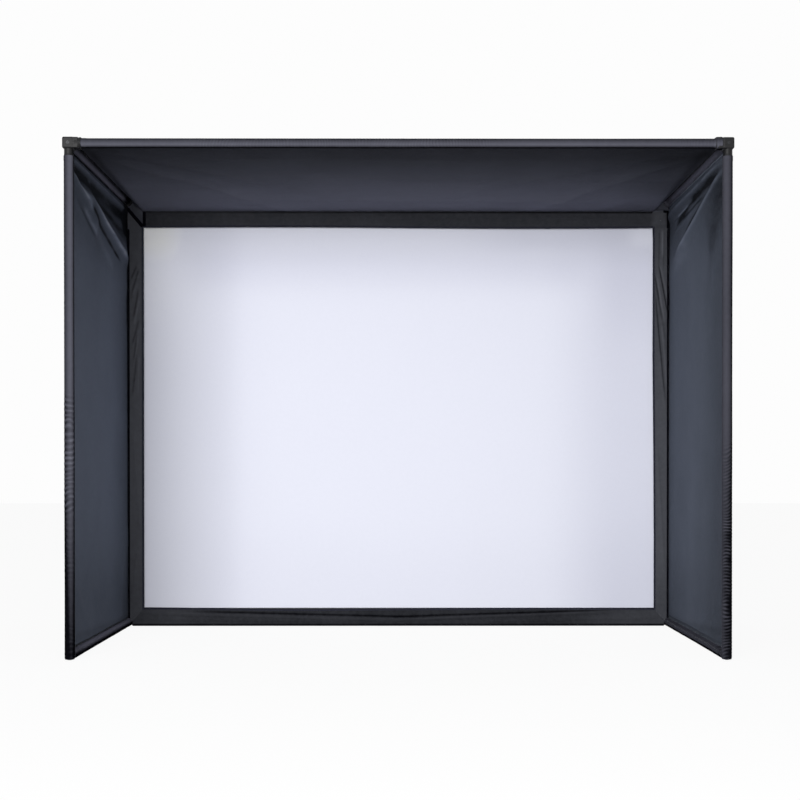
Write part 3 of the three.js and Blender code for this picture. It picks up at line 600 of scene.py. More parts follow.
def sleeve(name, start, end, up, seam_angle, base=0.0004, patches=(), pitch=0.0145, seed=1, step=0.0045,
           foot=False, flare=None, sag=0.0008, snug=0.0, stripes=(), fade=(), gathered_side=None, slant=0.0,
           contrast=1.0, material=SLEEVE):
    """Gathered cloth tube round a straight tube, with its closing seam along `seam_angle`.

    `up` is the direction of angle 0. A foot end is closed like a sock; `flare` is
    (end radius, length) where the far end is pulled over a fitting's arm. `snug` pulls the
    side away from `up` closer to the tube. A stripe is (angle, half width, tone) of painted
    highlight or painted shade, and `fade` gives the painted shade at places along the sleeve.
    The gathered side, an (angle, half width), is where the patches and the fade keep to, and
    `contrast` strengthens the gathers' painted highlights and shade.
    """
    start, end, up = (np.asarray(each, float) for each in (start, end, up))
    length = np.linalg.norm(end - start)
    along = (end - start) / length
    side = np.cross(along, up)
    rows = max(int(length / step), 8)
    s = np.linspace(0, length, rows)
    angle = ring_angles(RING)
    s_grid, theta = grid(s, angle, "ij")
    deep = amount(s, base, patches)[:, None]
    face, half_width = gathered_side or (0.0, 1.0)
    rib = gathers(s_grid, theta, pitch, seed, slant, face)
    here = np.exp(-(angle_from(theta, face) / half_width)**4) if gathered_side else 1.0
    deep = base + (deep - base) * here
    drift = lattice_noise(s_grid / 0.35, 2 * theta / (2 * math.pi), seed + 5, 2)
    tighter = snug * (1 - np.cos(angle)) / 2
    radius = SLEEVE_RADIUS + 0.0002 - tighter + deep * rib + 0.0009 * drift
    # Slack gathers under a level tube, since the cloth hangs from its top.
    hang = -(np.cos(theta) * up[2] + np.sin(theta) * side[2])
    radius = radius + sag * np.clip(hang, 0, 1)**2 * (1 - abs(along[2]))
    # Overlap of the closing seam: a step that runs the whole length.
    off = angle_from(theta, seam_angle)
    radius = radius + LAP_HEIGHT * smooth((SEAM_WIDTH / 2 - np.abs(off)) / 0.12 + 0.5)
    # Turned hem at each open end.
    for distance in (length - s_grid,) if foot else (s_grid, length - s_grid):
        radius = radius + smooth((OPEN_HEM - distance) / 0.004 + 0.5) * HEM_HEIGHT
    if flare:
        over = smooth((s_grid - (length - flare[1])) / 0.010 + 0.5)
        radius = radius + over * (flare[0] - SLEEVE_RADIUS)
    # Painted highlights on the gathers' tops and painted shade in their roots, stronger where the gathers are
    # deep.
    gather_shading = np.clip(contrast * (deep - 0.0004) / 0.0014, 0, 1)
    crest = 0.5 + gather_shading * (0.9 * rib - 0.42)
    # Stripes of painted highlight and painted shade round the sleeve, and painted shade along it.
    for middle, half, tone in stripes:
        crest = crest + tone * bell(angle_from(theta, middle), 0, half)
    if fade:
        crest = crest + np.interp(s, *zip(*fade))[:, None] * here
    if foot:
        sock = np.clip((s_grid - 0.0005) / 0.011, 0, 1)
        radius = radius * (0.35 + 0.65 * np.sqrt(1 - (1 - sock)**2))
    ring = np.cos(theta)[..., None] * up + np.sin(theta)[..., None] * side
    outer = start + s_grid[..., None] * along + ring * radius[..., None]
    outer[..., 2] = np.maximum(outer[..., 2], FLOOR_CLEAR)    # it lies on the floor
    flat_ring = np.cos(angle)[:, None] * up + np.sin(angle)[:, None] * side
    bore = (SLEEVE_BORE + 0.0001 - tighter)[:, None]
    inside = [start + along * (0.004 if foot else 0.0) + flat_ring * bore]
    if flare:
        inside += [end - along * (flare[1] + 0.006) + flat_ring * bore,
                   end - along * (flare[1] - 0.006) + flat_ring * (flare[0] - LINING)]
    inside.append(end + flat_ring * (flare[0] - LINING if flare else bore))
    # Rings: outside from start to end, then back along the inside.
    points = np.concatenate([outer.reshape(-1, 3), *inside[::-1]])
    rows += len(inside)
    faces, columns, rings = ring_faces(rows, RING, not foot)
    distance = np.concatenate([s, [length] * (len(inside) - 1), [0.0]])
    loop_uv = pairs(distance[rings], columns * 2 * math.pi * SLEEVE_RADIUS / RING).reshape(-1, 2)
    faces = faces.tolist()
    if foot:
        faces += end_caps(rows, RING)
        cap = pairs(np.cos(angle), np.sin(angle)) * 0.01
        loop_uv = np.concatenate([loop_uv, cap[::-1], cap])
    tone = np.concatenate([np.clip(crest, 0, 1.5).ravel(), np.full(len(inside) * RING, 0.3)])
    made = make(name, points, faces, material, slot="sleeve_fabric", loop_uv=loop_uv, crest=tone, sharp=70)
    return made, (s, outer, ring)


def sleeve_line(shape, theta, trim=0.004):
    """Points and normals along a finished sleeve at one angle, for its stitching."""
    s, outer, ring = shape
    column = int(round((theta % TURN) / TURN * RING)) % RING
    inside = (s > trim) & (s < s[-1] - trim)
    return outer[inside, column], ring[inside, column]


seam_lines = []


def fit_sleeve(node_name, start, end, up, seam_angle, **how):
    piece, shape = sleeve(node_name + "_cloth", start, end, up, seam_angle, **how)
    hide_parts(node_name)
    for side in (1, -1):
        seam_lines.append(sleeve_line(shape, seam_angle + side * SEAM_WIDTH / 4))


TOP_END = HIGH - SLEEVE_START
X_UP = (0, 0, 1)
OVER_ARM = 0.031    # how far the header's right end and the right top rail's rear end cover an arm
OVER_LIP = (SOCKET_LIP_RADIUS + 0.0013, OVER_ARM)
RAIL_LAP = 0.002

# Stripes are painted highlights where the light falls on the cloth, and painted shade at its
# # edges where it turns out of sight. A fade is painted shade along a sleeve: towards the floor
# # on the front posts, and at the rear end of the left top rail.
SIDE_SLEEVES = {
    "left": {
        "front_post": dict(
            patches=((0, 0.16, 0.0006), (0.70, 1.26, 0.0012), (0.40, 0.72, 0.0006)), pitch=0.026,
            stripes=((QUARTER + 0.54, 0.62, 0.32), (QUARTER - 0.80, 0.60, -0.22),
                     (QUARTER + 1.56, 0.26, -0.90)),
            fade=((0, -0.74), (0.12, -0.61), (0.25, -0.55), (0.42, -0.43), (0.70, -0.18), (0.80, -0.02),
                  (2.41, 0))),
        "top_rail": dict(stripes=((1.72 * QUARTER, 0.34, 0.30), (1.10 * QUARTER, 0.36, -0.42)),
                         fade=((0, 0), (1.20, 0), (1.32, -0.9), (1.36, -0.9))),
        "bottom_rail": dict(stripes=((0.42 * QUARTER, 0.48, 0.26), (1.44 * QUARTER, 0.66, -1.5)),
                            material=LIGHTER_SLEEVE),
    },
    "right": {
        "front_post": dict(
            patches=((0, 0.70, 0.0009), (0.66, 1.02, 0.0007), (2.30, 2.42, 0.0003)), pitch=0.0165,
            contrast=2.2, gathered_side=(-0.95, 1.75), slant=0.50,
            stripes=((-QUARTER - 0.52, 0.48, 0.04), (-QUARTER + 0.80, 0.60, -0.22),
                     (-QUARTER + 1.36, 0.46, -0.90)),
            fade=((0, -0.38), (0.25, -0.32), (0.55, -0.28), (0.85, -0.15), (1.15, -0.04), (2.41, 0))),
        "top_rail": dict(stripes=((-1.6 * QUARTER, 0.90, 0.34),), flare=OVER_LIP),
        "bottom_rail": dict(stripes=((-0.45 * QUARTER, 0.50, -0.14), (-0.97 * QUARTER, 0.16, 0.30),
                                     (-1.52 * QUARTER, 0.56, -1.5))),
    },
}

for sign, name in SIDES:
    x = sign * TUBE_X
    out = (sign, 0, 0)
    looks = SIDE_SLEEVES[name]
    rail_end = REAR - SLEEVE_START + ("flare" in looks["top_rail"]) * OVER_ARM
    fit_sleeve(f"{name}_front_post_sleeve", (x, FRONT, 0.0), (x, FRONT, TOP_END), out, math.pi - sign * 0.55,
               seed=11 + sign, foot=True, step=0.0036, **looks["front_post"])
    fit_sleeve(f"{name}_rear_post_sleeve", (x, REAR, 0.0), (x, REAR, TOP_END), out, 0.9 * sign, base=0.0006,
               patches=((0, 0.2, 0.0018), (1.0, 1.7, 0.0011)), seed=31 + sign, foot=True)
    fit_sleeve(f"{name}_top_rail_sleeve", (x, FRONT + SLEEVE_START, HIGH), (x, rail_end, HIGH), X_UP,
               0.7 * sign, patches=((0, 0.12, 0.0012), (1.2, 1.36, 0.0014)), seed=51 + sign,
               **{"material": LIGHTER_SLEEVE, **looks["top_rail"]})
    fit_sleeve(f"{name}_bottom_rail_sleeve", (x, FRONT + RAIL_START - RAIL_LAP, LOW),
               (x, REAR - RAIL_START + RAIL_LAP, LOW), X_UP, -1.0 * sign, base=0.0005,
               patches=((0, 0.20, 0.0020), (0.95, 1.43, 0.0010)), seed=71 + sign, sag=0.0,
               **looks["bottom_rail"])

HEADER_END = TUBE_X - SLEEVE_START
# The header's sleeve has a painted highlight on its front and painted shade along its top and its underside.
fit_sleeve("front_header_sleeve", (-HEADER_END, FRONT, HIGH), (HEADER_END + OVER_ARM, FRONT, HIGH), X_UP,
           -2.2, base=0.0003, patches=((0.55, 1.95, 0.0007), (2.85, 3.1, 0.0006)), seed=91, step=0.0042,
           snug=0.0020, sag=0.0, flare=OVER_LIP,
           stripes=((QUARTER + 0.50, 0.46, 0.41), (QUARTER - 0.80, 0.50, -0.26),
                    (math.pi + 0.10, 0.50, -1.5)))
fit_sleeve("rear_header_sleeve", (-HEADER_END, REAR, HIGH), (HEADER_END, REAR, HIGH), X_UP, 0.8, base=0.0005,
           patches=((0, 0.2, 0.0015), (2.8, 3.03, 0.0015)), seed=95)
BOTTOM_END = TUBE_X - RAIL_START + RAIL_LAP
fit_sleeve("rear_bottom_sleeve", (-BOTTOM_END, REAR, LOW), (BOTTOM_END, REAR, LOW), X_UP, 1.1, base=0.0006,
           patches=((0, 0.3, 0.0018), (2.7, 3.1, 0.0018)), seed=97, sag=0.0)
stitching("sleeve_stitching", seam_lines, lift=0.0001)

# ---------------------------------------------------------------- seams of the panels and the roof

PANEL_THICKNESS = 0.001
SEAM_THICKNESS = 0.0026
EDGE_INSET = 0.0226
FITTING_INSET = 0.0296
UPRIGHT_INSET = 0.0244      # beside a fitting's slimmer upright arm
FITTING_REACH = 0.062
SEAM_CLEAR = FITTING_REACH + 0.003
BAND_IN, BAND_OUT = EDGE_INSET + 0.0005, 0.0345
SEAM_ROWS = (0.0262, 0.0318)    # insets of a seam's two rows of stitches
SEAM_LIFT = 0.00135
attached = {}               # owner -> the small pieces that its sheet carries


def attach(owner, piece):
    attached.setdefault(owner, []).append(piece)


def hug(distance, inset=FITTING_INSET):
    """Extra inset beside a fitting's arm."""
    return (inset - EDGE_INSET) * smooth((FITTING_REACH - distance) / 0.008 + 0.5)


def seam(owner, name, surface, first, last, material, slot, axis, outer=BAND_OUT, count=200, **how):
    """Seam allowance along one edge of a surface, folded round its cloth, and its stitches' lines.

    `surface(along, inset)` gives a point, and `axis` is the number of the cloth's normal.
    """
    along = np.linspace(first, last, max(int(abs(last - first) / 0.018), 2))
    inset = np.array([BAND_IN, 0.75 * BAND_IN + 0.25 * outer, 0.25 * BAND_IN + 0.75 * outer, outer])
    a, b = grid(along, inset, "ij")
    attach(owner, cloth_piece(name, surface(a, b), pairs(a, b), SEAM_THICKNESS, material, slot=slot, **how))
    run = np.linspace(first + 0.004, last - 0.004, count)
    lines = []
    for row in SEAM_ROWS:
        line = surface(run, np.full_like(run, row))
        for face in (-1, 1):
            normal = face * np.eye(3)[axis]
            lines.append((line + normal * SEAM_LIFT, normal))
    return lines


# ---------------------------------------------------------------- side panels

SIDE_BILLOW = 0.012

# A fold is (start, end, width, height, grow, skew); places are [back from the front post,
# down from the top rail], and a positive height stands into the bay.
LEFT_FOLDS = (
    ((0.30, 0.165), (1.38, 0.342), 0.034, 0.034, 0.4, 0.35),
    ((0.04, 0.130), (0.62, 0.285), 0.026, 0.022, 0.5, 0.2),
    ((0.05, 0.056), (1.38, 0.060), 0.015, 0.012, 0.0, 0.3),
    ((0.15, 0.250), (0.62, 0.385), 0.030, 0.008, 0.5, 0.0),
    ((0.12, 0.110), (1.38, 0.140), 0.040, -0.014, 0.6, 0.0),
    ((0.86, 0.560), (1.44, 0.480), 0.070, 0.006, 0.5, 0.2),
    ((0.06, 2.350), (1.35, 2.395), 0.030, 0.010, 0.4, 0.3),
    ((0.05, 2.050), (0.42, 2.400), 0.045, 0.006, 0.5, 0.0),
    ((1.42, 1.900), (1.18, 2.420), 0.050, 0.006, 0.2, 0.0),
)
RIGHT_FOLDS = (
    ((0.05, 0.080), (1.40, 0.098), 0.030, 0.034, 0.2, 0.55),
    ((0.06, 0.112), (1.22, 0.352), 0.034, 0.026, 0.6, -0.4),
    ((0.80, 0.134), (1.25, 0.156), 0.010, 0.009, 0.0, 0.0),
    ((0.62, 0.160), (1.30, 0.215), 0.014, 0.008, 0.5, 0.0),
    ((0.03, 0.190), (0.50, 0.760), 0.055, 0.008, 1.0, 0.2),
    ((0.95, 0.500), (1.44, 0.420), 0.060, 0.006, 0.5, 0.2),
    ((0.06, 2.330), (1.30, 2.400), 0.028, 0.008, 0.4, 0.3),
    ((0.04, 1.960), (0.33, 2.400), 0.045, 0.007, 0.5, 0.0),
    ((0.30, 2.270), (0.62, 2.410), 0.030, 0.006, 0.2, 0.0),
)
# Painted highlights on the folds' ridges (above zero) and painted shade in their roots (below): (start, end,
# width, tone).
LEFT_TONES = (
    ((0.40, 0.176), (1.30, 0.340), 0.012, 0.62), ((0.43, 0.218), (1.20, 0.372), 0.009, -0.42),
    ((0.07, 0.126), (0.43, 0.226), 0.015, 0.65), ((0.33, 0.250), (0.64, 0.330), 0.013, 0.40),
    ((0.25, 0.262), (0.56, 0.345), 0.008, -0.22), ((0.08, 0.058), (1.30, 0.060), 0.011, 0.16),
    ((0.06, 0.098), (1.35, 0.108), 0.026, -0.44), ((0.56, 0.140), (1.36, 0.215), 0.032, -0.30),
    ((0.30, 0.130), (0.70, 0.140), 0.014, 0.12), ((1.41, 0.0), (1.41, 0.20), 0.060, -0.90),
    ((1.435, 0.15), (1.435, 0.70), 0.025, -0.50), ((0.56, 0.280), (1.05, 0.440), 0.030, 0.14),
)
RIGHT_TONES = (
    ((0.05, 0.040), (1.43, 0.046), 0.030, 0.38), ((0.12, 0.080), (1.13, 0.090), 0.011, 0.30),
    ((0.26, 0.108), (0.78, 0.119), 0.011, -0.44), ((0.90, 0.127), (1.17, 0.139), 0.007, 0.50),
    ((0.70, 0.117), (1.18, 0.170), 0.011, -0.42), ((0.56, 0.150), (1.20, 0.178), 0.009, -0.26),
    ((0.20, 0.122), (0.96, 0.246), 0.016, -0.45), ((0.06, 0.116), (1.09, 0.322), 0.013, 0.32),
    ((0.04, 0.180), (0.42, 0.420), 0.120, -0.11), ((0.90, 0.330), (1.33, 0.420), 0.050, 0.12),
    ((1.44, 0.080), (1.44, 0.700), 0.025, -0.30),
)


def side_out(back, down, folds, seed):
    """How far a side panel stands out of its frame's plane."""
    across, along = back / DEPTH, down / HEIGHT
    held = rise(across, 0, 0.07) * rise(across, 1, -0.06) * rise(down, EDGE_INSET, 0.034)
    held = held * rise(along, 1, -0.03)
    drape = 0.0035 * np.sin(TURN * across * 1.6 + 1.2 * along) * smooth(along * 2)
    fine = (0.0011 * crumple(back / 0.16, down / 0.30, seed)
            + 0.0004 * crumple(back / 0.045, down / 0.06, seed + 9))
    billow = SIDE_BILLOW * np.sin(math.pi * across) * np.sin(math.pi * along)**0.7
    return held * (billow - creases(back, down, folds) + drape + fine)


def side_point(sign, back, down):
    folds, seed = (LEFT_FOLDS, 201) if sign < 0 else (RIGHT_FOLDS, 231)
    back, down = np.broadcast_arrays(back, down)
    x = sign * (TUBE_X + side_out(back, down, folds, seed))
    return np.stack([x, back - TUBE_Y, HIGH - down], -1)


def side_shade(sign, back, down):
    """Slow changes of a side panel's painted light and shade: painted shade under the roof and along the
    floor.
    """
    shade = -0.17 * rise(down, 0.52, -0.40) - 0.05 * rise(back, 1.25, 0.20)
    if sign < 0:
        return (shade - 0.19 * rise(down, 1.75, 0.60)
                + 0.15 * rise(down, 0.25, 0.45) * rise(back, 1.35, -0.40))
    return (shade - 0.07 * rise(down, 1.75, 0.60) - 0.15 * rise(back, 0.60, -0.40)
            + 0.05 * bell(back, 0.85, 0.18))


def side_panel(sign, name):
    # Rows crowd towards the top, where the folds are.
    u, v = grid(np.linspace(0, 1, 128), np.interp(np.linspace(0, 1, 350), (0, 0.56, 1), (0, 0.165, 1)))
    rough_back, rough_down = u * DEPTH, v * HEIGHT
    front = EDGE_INSET + hug(rough_down, UPRIGHT_INSET)
    top = EDGE_INSET + hug(np.minimum(rough_back, DEPTH - rough_back))
    back = front + u * (DEPTH - 2 * front)
    down = top + v * (HEIGHT - top - EDGE_INSET)
    # Painted highlights and shade along the folds, unevenly strong, and painted shading over the panel.
    uneven = 1 + 0.45 * crumple(back / 0.16, down / 0.035, 260)
    tones = strokes(back, down, LEFT_TONES if sign < 0 else RIGHT_TONES)
    crest = 0.5 + uneven * tones + side_shade(sign, back, down)
    panel = cloth_piece(f"{name}_side_cloth", side_point(sign, back, down), pairs(back, down),
                        PANEL_THICKNESS, PANEL, slot="panel_fabric", crest=crest, outside=0.35,
                        flip=sign > 0)
    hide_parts(f"{name}_side_panel")
    return panel


# Edge -> its point for (along, inset), and where its seam starts and ends.
SIDE_EDGES = {
    "front": (lambda sign, a, b: side_point(sign, b, a), SEAM_CLEAR, HEIGHT - 0.012),
    "rear": (lambda sign, a, b: side_point(sign, DEPTH - b, a), SEAM_CLEAR, HEIGHT - 0.012),
    "top": (lambda sign, a, b: side_point(sign, a, b), SEAM_CLEAR, DEPTH - SEAM_CLEAR),
    "bottom": (lambda sign, a, b: side_point(sign, a, HEIGHT - b), 0.03, DEPTH - 0.03),
}
# Painted tones of the seams' bands: painted shade along the bottom ones, painted light along the top ones.
# The bound seams are black binding, which paints the deep shade at those junctions.
SEAM_TONES = {"front": 0.42, "rear": 0.5, "top": 0.95, "left_bottom": 0.04, "right_bottom": 0.24}
SEAM_EXTRA = {"left_rear": 0.014, "right_rear": 0.014, "left_top": 0.003, "right_bottom": 0.012}
BOUND = ("left_rear", "right_rear", "left_top")

panel_lines = []
for sign, name in SIDES:
    side_panel(sign, name)
    for edge, (surface, first, last) in SIDE_EDGES.items():
        which = f"{name}_{edge}"
        panel_lines += seam(name, f"{name}_side_{edge}_seam", lambda a, b: surface(sign, a, b), first, last,
                            BINDING_AND_SHADE if which in BOUND else PANEL, "panel_fabric", 0,
                            outer=BAND_OUT + SEAM_EXTRA.get(which, 0.0),
                            flip=(sign > 0) != (edge in ("rear", "bottom")),
                            crest=SEAM_TONES.get(edge, SEAM_TONES.get(which)))
stitching("panel_stitching", panel_lines, slot="panel_fabric")

# ---------------------------------------------------------------- roof

ROOF_REAR = 0.7080
ROOF_END = TUBE_Y + ROOF_REAR
SEAM_DROP = 0.060
ROOF_CORNER = 0.078
ROOF_FOLDS = (
    ((-1.50, 0.05), (-0.35, 1.05), 0.060, 0.010, 0.8, 0.2),
    ((-1.40, 0.35), (-0.60, 1.42), 0.050, 0.008, 0.4, 0.0),
    ((1.50, 0.05), (0.30, 1.00), 0.060, 0.009, 0.8, -0.2),
    ((1.42, 0.30), (0.75, 1.42), 0.045, 0.008, 0.4, 0.0),
    ((-1.52, 0.62), (1.52, 0.70), 0.110, 0.007, 0.0, 0.2),
    ((-0.90, 1.10), (1.10, 1.16), 0.070, 0.006, 0.0, 0.0),
    ((-1.10, 0.22), (0.40, 0.27), 0.060, 0.006, 0.0, 0.1),
)
# Painted shading from the front, darkest, to the rear, and painted light and shade along lines (x, back).
ROOF_TONES = ((0.0, 0.29), (0.25, 0.37), (0.60, 0.83), (1.00, 1.05), (1.25, 1.18), (1.45, 1.29))
ROOF_STROKES = (
    ((1.40, 0.10), (1.45, 1.05), 0.20, -0.12), ((-1.40, 0.90), (-1.30, 1.45), 0.30, -0.06),
    ((-1.40, 0.22), (-0.45, 0.22), 0.24, 0.08), ((1.22, 1.30), (1.46, 1.46), 0.15, -0.20),
    ((-1.512, 0.10), (-1.512, 1.30), 0.024, -0.16), ((1.50, 0.10), (1.50, 1.20), 0.040, -0.14),
)


def roof_drop(x, back):
    """How far the roof hangs under the top tubes' centre lines."""
    edge = (TUBE_X - EDGE_INSET - np.abs(x)) / ROOF_CORNER
    share = np.clip((back - EDGE_INSET) / (ROOF_END - EDGE_INSET), 0, 1)
    dip = SEAM_DROP * smooth(edge) * share**1.5
    held = rise(TUBE_X - np.abs(x), EDGE_INSET, 0.09) * rise(back, EDGE_INSET, 0.07)
    held = held * rise(back, ROOF_END, -0.07)
    ripple = 0.004 * np.sin(3 * math.pi * share)
    belly = 0.010 * np.sin(math.pi * share)
    fine = 0.0016 * crumple(x / 0.22, back / 0.13, 301) + 0.0005 * crumple(x / 0.06, back / 0.04, 311)
    return dip + held * (belly + ripple + creases(x, back, ROOF_FOLDS) + fine)


def roof_point(x, back):
    x, back = np.broadcast_arrays(x, back)
    return np.stack([x, back - TUBE_Y, HIGH - roof_drop(x, back)], -1)


def roof_panel():
    columns = np.linspace(-1, 1, 300)
    columns = columns * (1 + 0.06 * (1 - columns**2))    # closer together at the sides
    u, v = grid(columns, np.linspace(0, 1, 122))
    rough_x, rough_back = u * TUBE_X, v * DEPTH
    side = EDGE_INSET + hug(np.minimum(rough_back, DEPTH - rough_back))
    front = EDGE_INSET + hug(TUBE_X - np.abs(rough_x))
    x = u * (TUBE_X - side)
    back = front + v * (ROOF_END - front)
    crest = np.interp(back, *zip(*ROOF_TONES)) + strokes(x, back, ROOF_STROKES)
    made = cloth_piece("roof_cloth", roof_point(x, back), pairs(x, back), PANEL_THICKNESS, ROOF,
                       slot="roof_fabric", crest=crest, outside=0.25)
    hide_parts("roof_panel")
    return made


ROOF_SEAM_LEFT = -1.466     # where the rear seam starts, beside the left gusset
ROOF_EDGES = {
    "front": (roof_point, SEAM_CLEAR - TUBE_X, TUBE_X - SEAM_CLEAR, BINDING_AND_SHADE),
    "left": (lambda a, b: roof_point(-TUBE_X + b, a), SEAM_CLEAR, DEPTH - SEAM_CLEAR, BINDING_AND_SHADE),
    "right": (lambda a, b: roof_point(TUBE_X - b, a), SEAM_CLEAR, DEPTH - SEAM_CLEAR, ROOF),
    "rear": (lambda a, b: roof_point(a, ROOF_END + BAND_IN - b), ROOF_SEAM_LEFT, TUBE_X - 0.10, BORDER),
}
roof = roof_panel()
roof_lines = []
# The roof's seams are painted dark, as the shade along the header and the rails; the front and left ones are
# black binding, which paints the deeper shade there.
for edge, (surface, first, last, material) in ROOF_EDGES.items():
    roof_lines += seam("roof", f"roof_{edge}_seam", surface, first, last, material, "roof_fabric", 2,
                       count=300, flip=edge in ("front", "right"), crest=0.1)
stitching("roof_stitching", roof_lines, slot="roof_fabric")

# Binding that hangs from the roof's rear seam, in front of the top border, painted dark as the shade line
# along that junction.
BINDING_DROP = 0.0085
BINDING_THICKNESS = 0.0014
a, b = grid(np.linspace(ROOF_SEAM_LEFT, TUBE_X - 0.090, 220), [0.0012, 0.33, 0.66, 1.0], "ij")
hanging = roof_point(a, ROOF_END - 0.0012) - np.stack([0 * a, 0.0006 * b, b * BINDING_DROP], -1)
attach("roof", cloth_piece("roof_rear_binding", hanging, pairs(a, b * BINDING_DROP), BINDING_THICKNESS,
                           BORDER, slot="roof_fabric", crest=0.095 - 0.045 * a))

# ---------------------------------------------------------------- border flaps

OPEN_LEFT, OPEN_RIGHT = -1.4815, 1.4800
OPEN_TOP, OPEN_BOTTOM = 2.318, 0.109
FLAP_SIDE = 1.5738
FLAP_TOP = 2.4500
FLAP_FOOT = 0.0012
FLAP_THICKNESS = 0.0010
FLAP_HEM = 0.011
BOTTOM_SIDE = 1.5470        # where the bottom flap ends beside the side panels
FLAP_CURL = (2.425, 0.025, 0.017)    # the top flap's sewn edge: where it starts, its height, its depth

# Folds as (start, end, width, height); places are (x, z), and a height stands into the bay.
FLAP_FOLDS = (
    ((-1.512, 2.110), (-1.556, 2.000), 0.009, 0.007), ((-1.506, 2.030), (-1.552, 1.900), 0.009, 0.007),
    ((-1.508, 1.920), (-1.544, 1.770), 0.009, 0.006), ((-1.506, 1.740), (-1.550, 1.620), 0.009, 0.006),
    ((-1.512, 1.660), (-1.542, 1.520), 0.008, 0.005), ((-1.512, 1.540), (-1.548, 1.330), 0.009, 0.005),
    ((-1.545, 1.150), (-1.505, 0.600), 0.012, 0.003), ((-1.510, 0.500), (-1.555, 0.160), 0.010, 0.003),
    ((1.508, 2.100), (1.566, 1.800), 0.009, 0.008), ((1.490, 1.990), (1.548, 1.660), 0.009, 0.007),
    ((1.492, 1.860), (1.552, 1.300), 0.010, 0.007), ((1.540, 2.280), (1.536, 2.080), 0.008, 0.006),
    ((1.505, 1.050), (1.550, 0.350), 0.012, 0.004), ((-1.30, 2.372), (0.10, 2.386), 0.012, 0.005),
    ((-0.30, 2.352), (1.35, 2.374), 0.011, 0.004), ((0.60, 2.395), (1.44, 2.352), 0.009, 0.005),
    ((-1.44, 2.392), (-0.70, 2.350), 0.009, 0.004), ((-1.40, 0.080), (0.10, 0.042), 0.011, 0.009),
    ((0.05, 0.044), (1.25, 0.088), 0.011, 0.009), ((-1.43, 0.040), (-0.40, 0.028), 0.010, 0.004),
    ((0.50, 0.028), (1.43, 0.046), 0.010, 0.004),
)
# Painted highlights (above zero) and painted shade (below) along the flaps' folds: (start, end, width, tone),
# places (x, z).
FLAP_TONES = (
    ((-1.522, 2.091), (-1.552, 2.024), 0.0045, -0.24), ((-1.511, 2.069), (-1.548, 1.950), 0.0045, -0.26),
    ((-1.508, 2.050), (-1.540, 1.930), 0.0045, 0.14), ((-1.514, 1.950), (-1.537, 1.801), 0.0045, -0.24),
    ((-1.506, 1.900), (-1.536, 1.760), 0.0050, 0.16), ((-1.511, 1.779), (-1.544, 1.653), 0.0045, -0.24),
    ((-1.522, 1.697), (-1.537, 1.563), 0.0040, -0.20), ((-1.512, 1.680), (-1.530, 1.560), 0.0045, 0.14),
    ((-1.522, 1.579), (-1.544, 1.355), 0.0045, -0.18), ((-1.508, 1.560), (-1.514, 1.370), 0.0050, 0.12),
    ((1.518, 2.083), (1.564, 1.831), 0.0045, -0.26), ((1.526, 2.090), (1.568, 1.900), 0.0050, 0.16),
    ((1.493, 2.040), (1.534, 1.801), 0.0045, -0.24), ((1.506, 2.030), (1.548, 1.780), 0.0050, 0.18),
    ((1.497, 1.920), (1.548, 1.355), 0.0050, -0.22), ((1.520, 1.940), (1.562, 1.400), 0.0055, 0.12),
    ((1.538, 2.300), (1.538, 2.160), 0.0060, 0.26), ((1.520, 2.300), (1.516, 2.120), 0.0050, -0.14),
    ((1.494, 0.900), (1.492, 0.130), 0.0060, 0.10), ((-1.380, 0.074), (0.060, 0.036), 0.0065, 0.14),
    ((0.060, 0.040), (1.180, 0.082), 0.0065, 0.12), ((-1.150, 0.085), (0.100, 0.054), 0.0060, -0.16),
    ((0.050, 0.058), (1.250, 0.094), 0.0060, -0.16),
)
# How far the right flap's free edge stands out of true: (height, distance).
RIGHT_LEAN = ((0.10, 0.0100), (0.50, 0.0100), (0.85, 0.0080), (1.20, 0.0050), (1.55, 0.0015), (2.00, 0.0015),
              (2.25, 0.0025), (2.318, 0.0))
# Bulge where the cloth wraps the rear top corner at the right: (x, z, width, height, depth).
CORNER_BULGE = (1.524, 2.374, 0.040, 0.052, 0.020)


def flap_forward(x, z):
    """How far a flap's cloth stands into the bay."""
    x, z = np.broadcast_arrays(x, z)
    x0, z0, wide, high, depth = CORNER_BULGE
    total = creases(x, z, FLAP_FOLDS, lead=0.15)
    total = total + depth * np.exp(-((x - x0) / wide)**6 - ((z - z0) / high)**6)
    along = np.where(np.abs(x) > 1.46, z, x)
    return np.maximum(total + 0.0012 * crumple(along / 0.12, (x + z) / 0.05, 401), -0.001)


def bottom_sag(x):
    """The bottom flap's top edge hangs a little between its stitched ends."""
    return 0.0112 * bell(x, -0.58, 0.52) + 0.0050 * bell(x, 0.30, 0.50) + 0.0050 * rise(x, 0.50, 0.90)


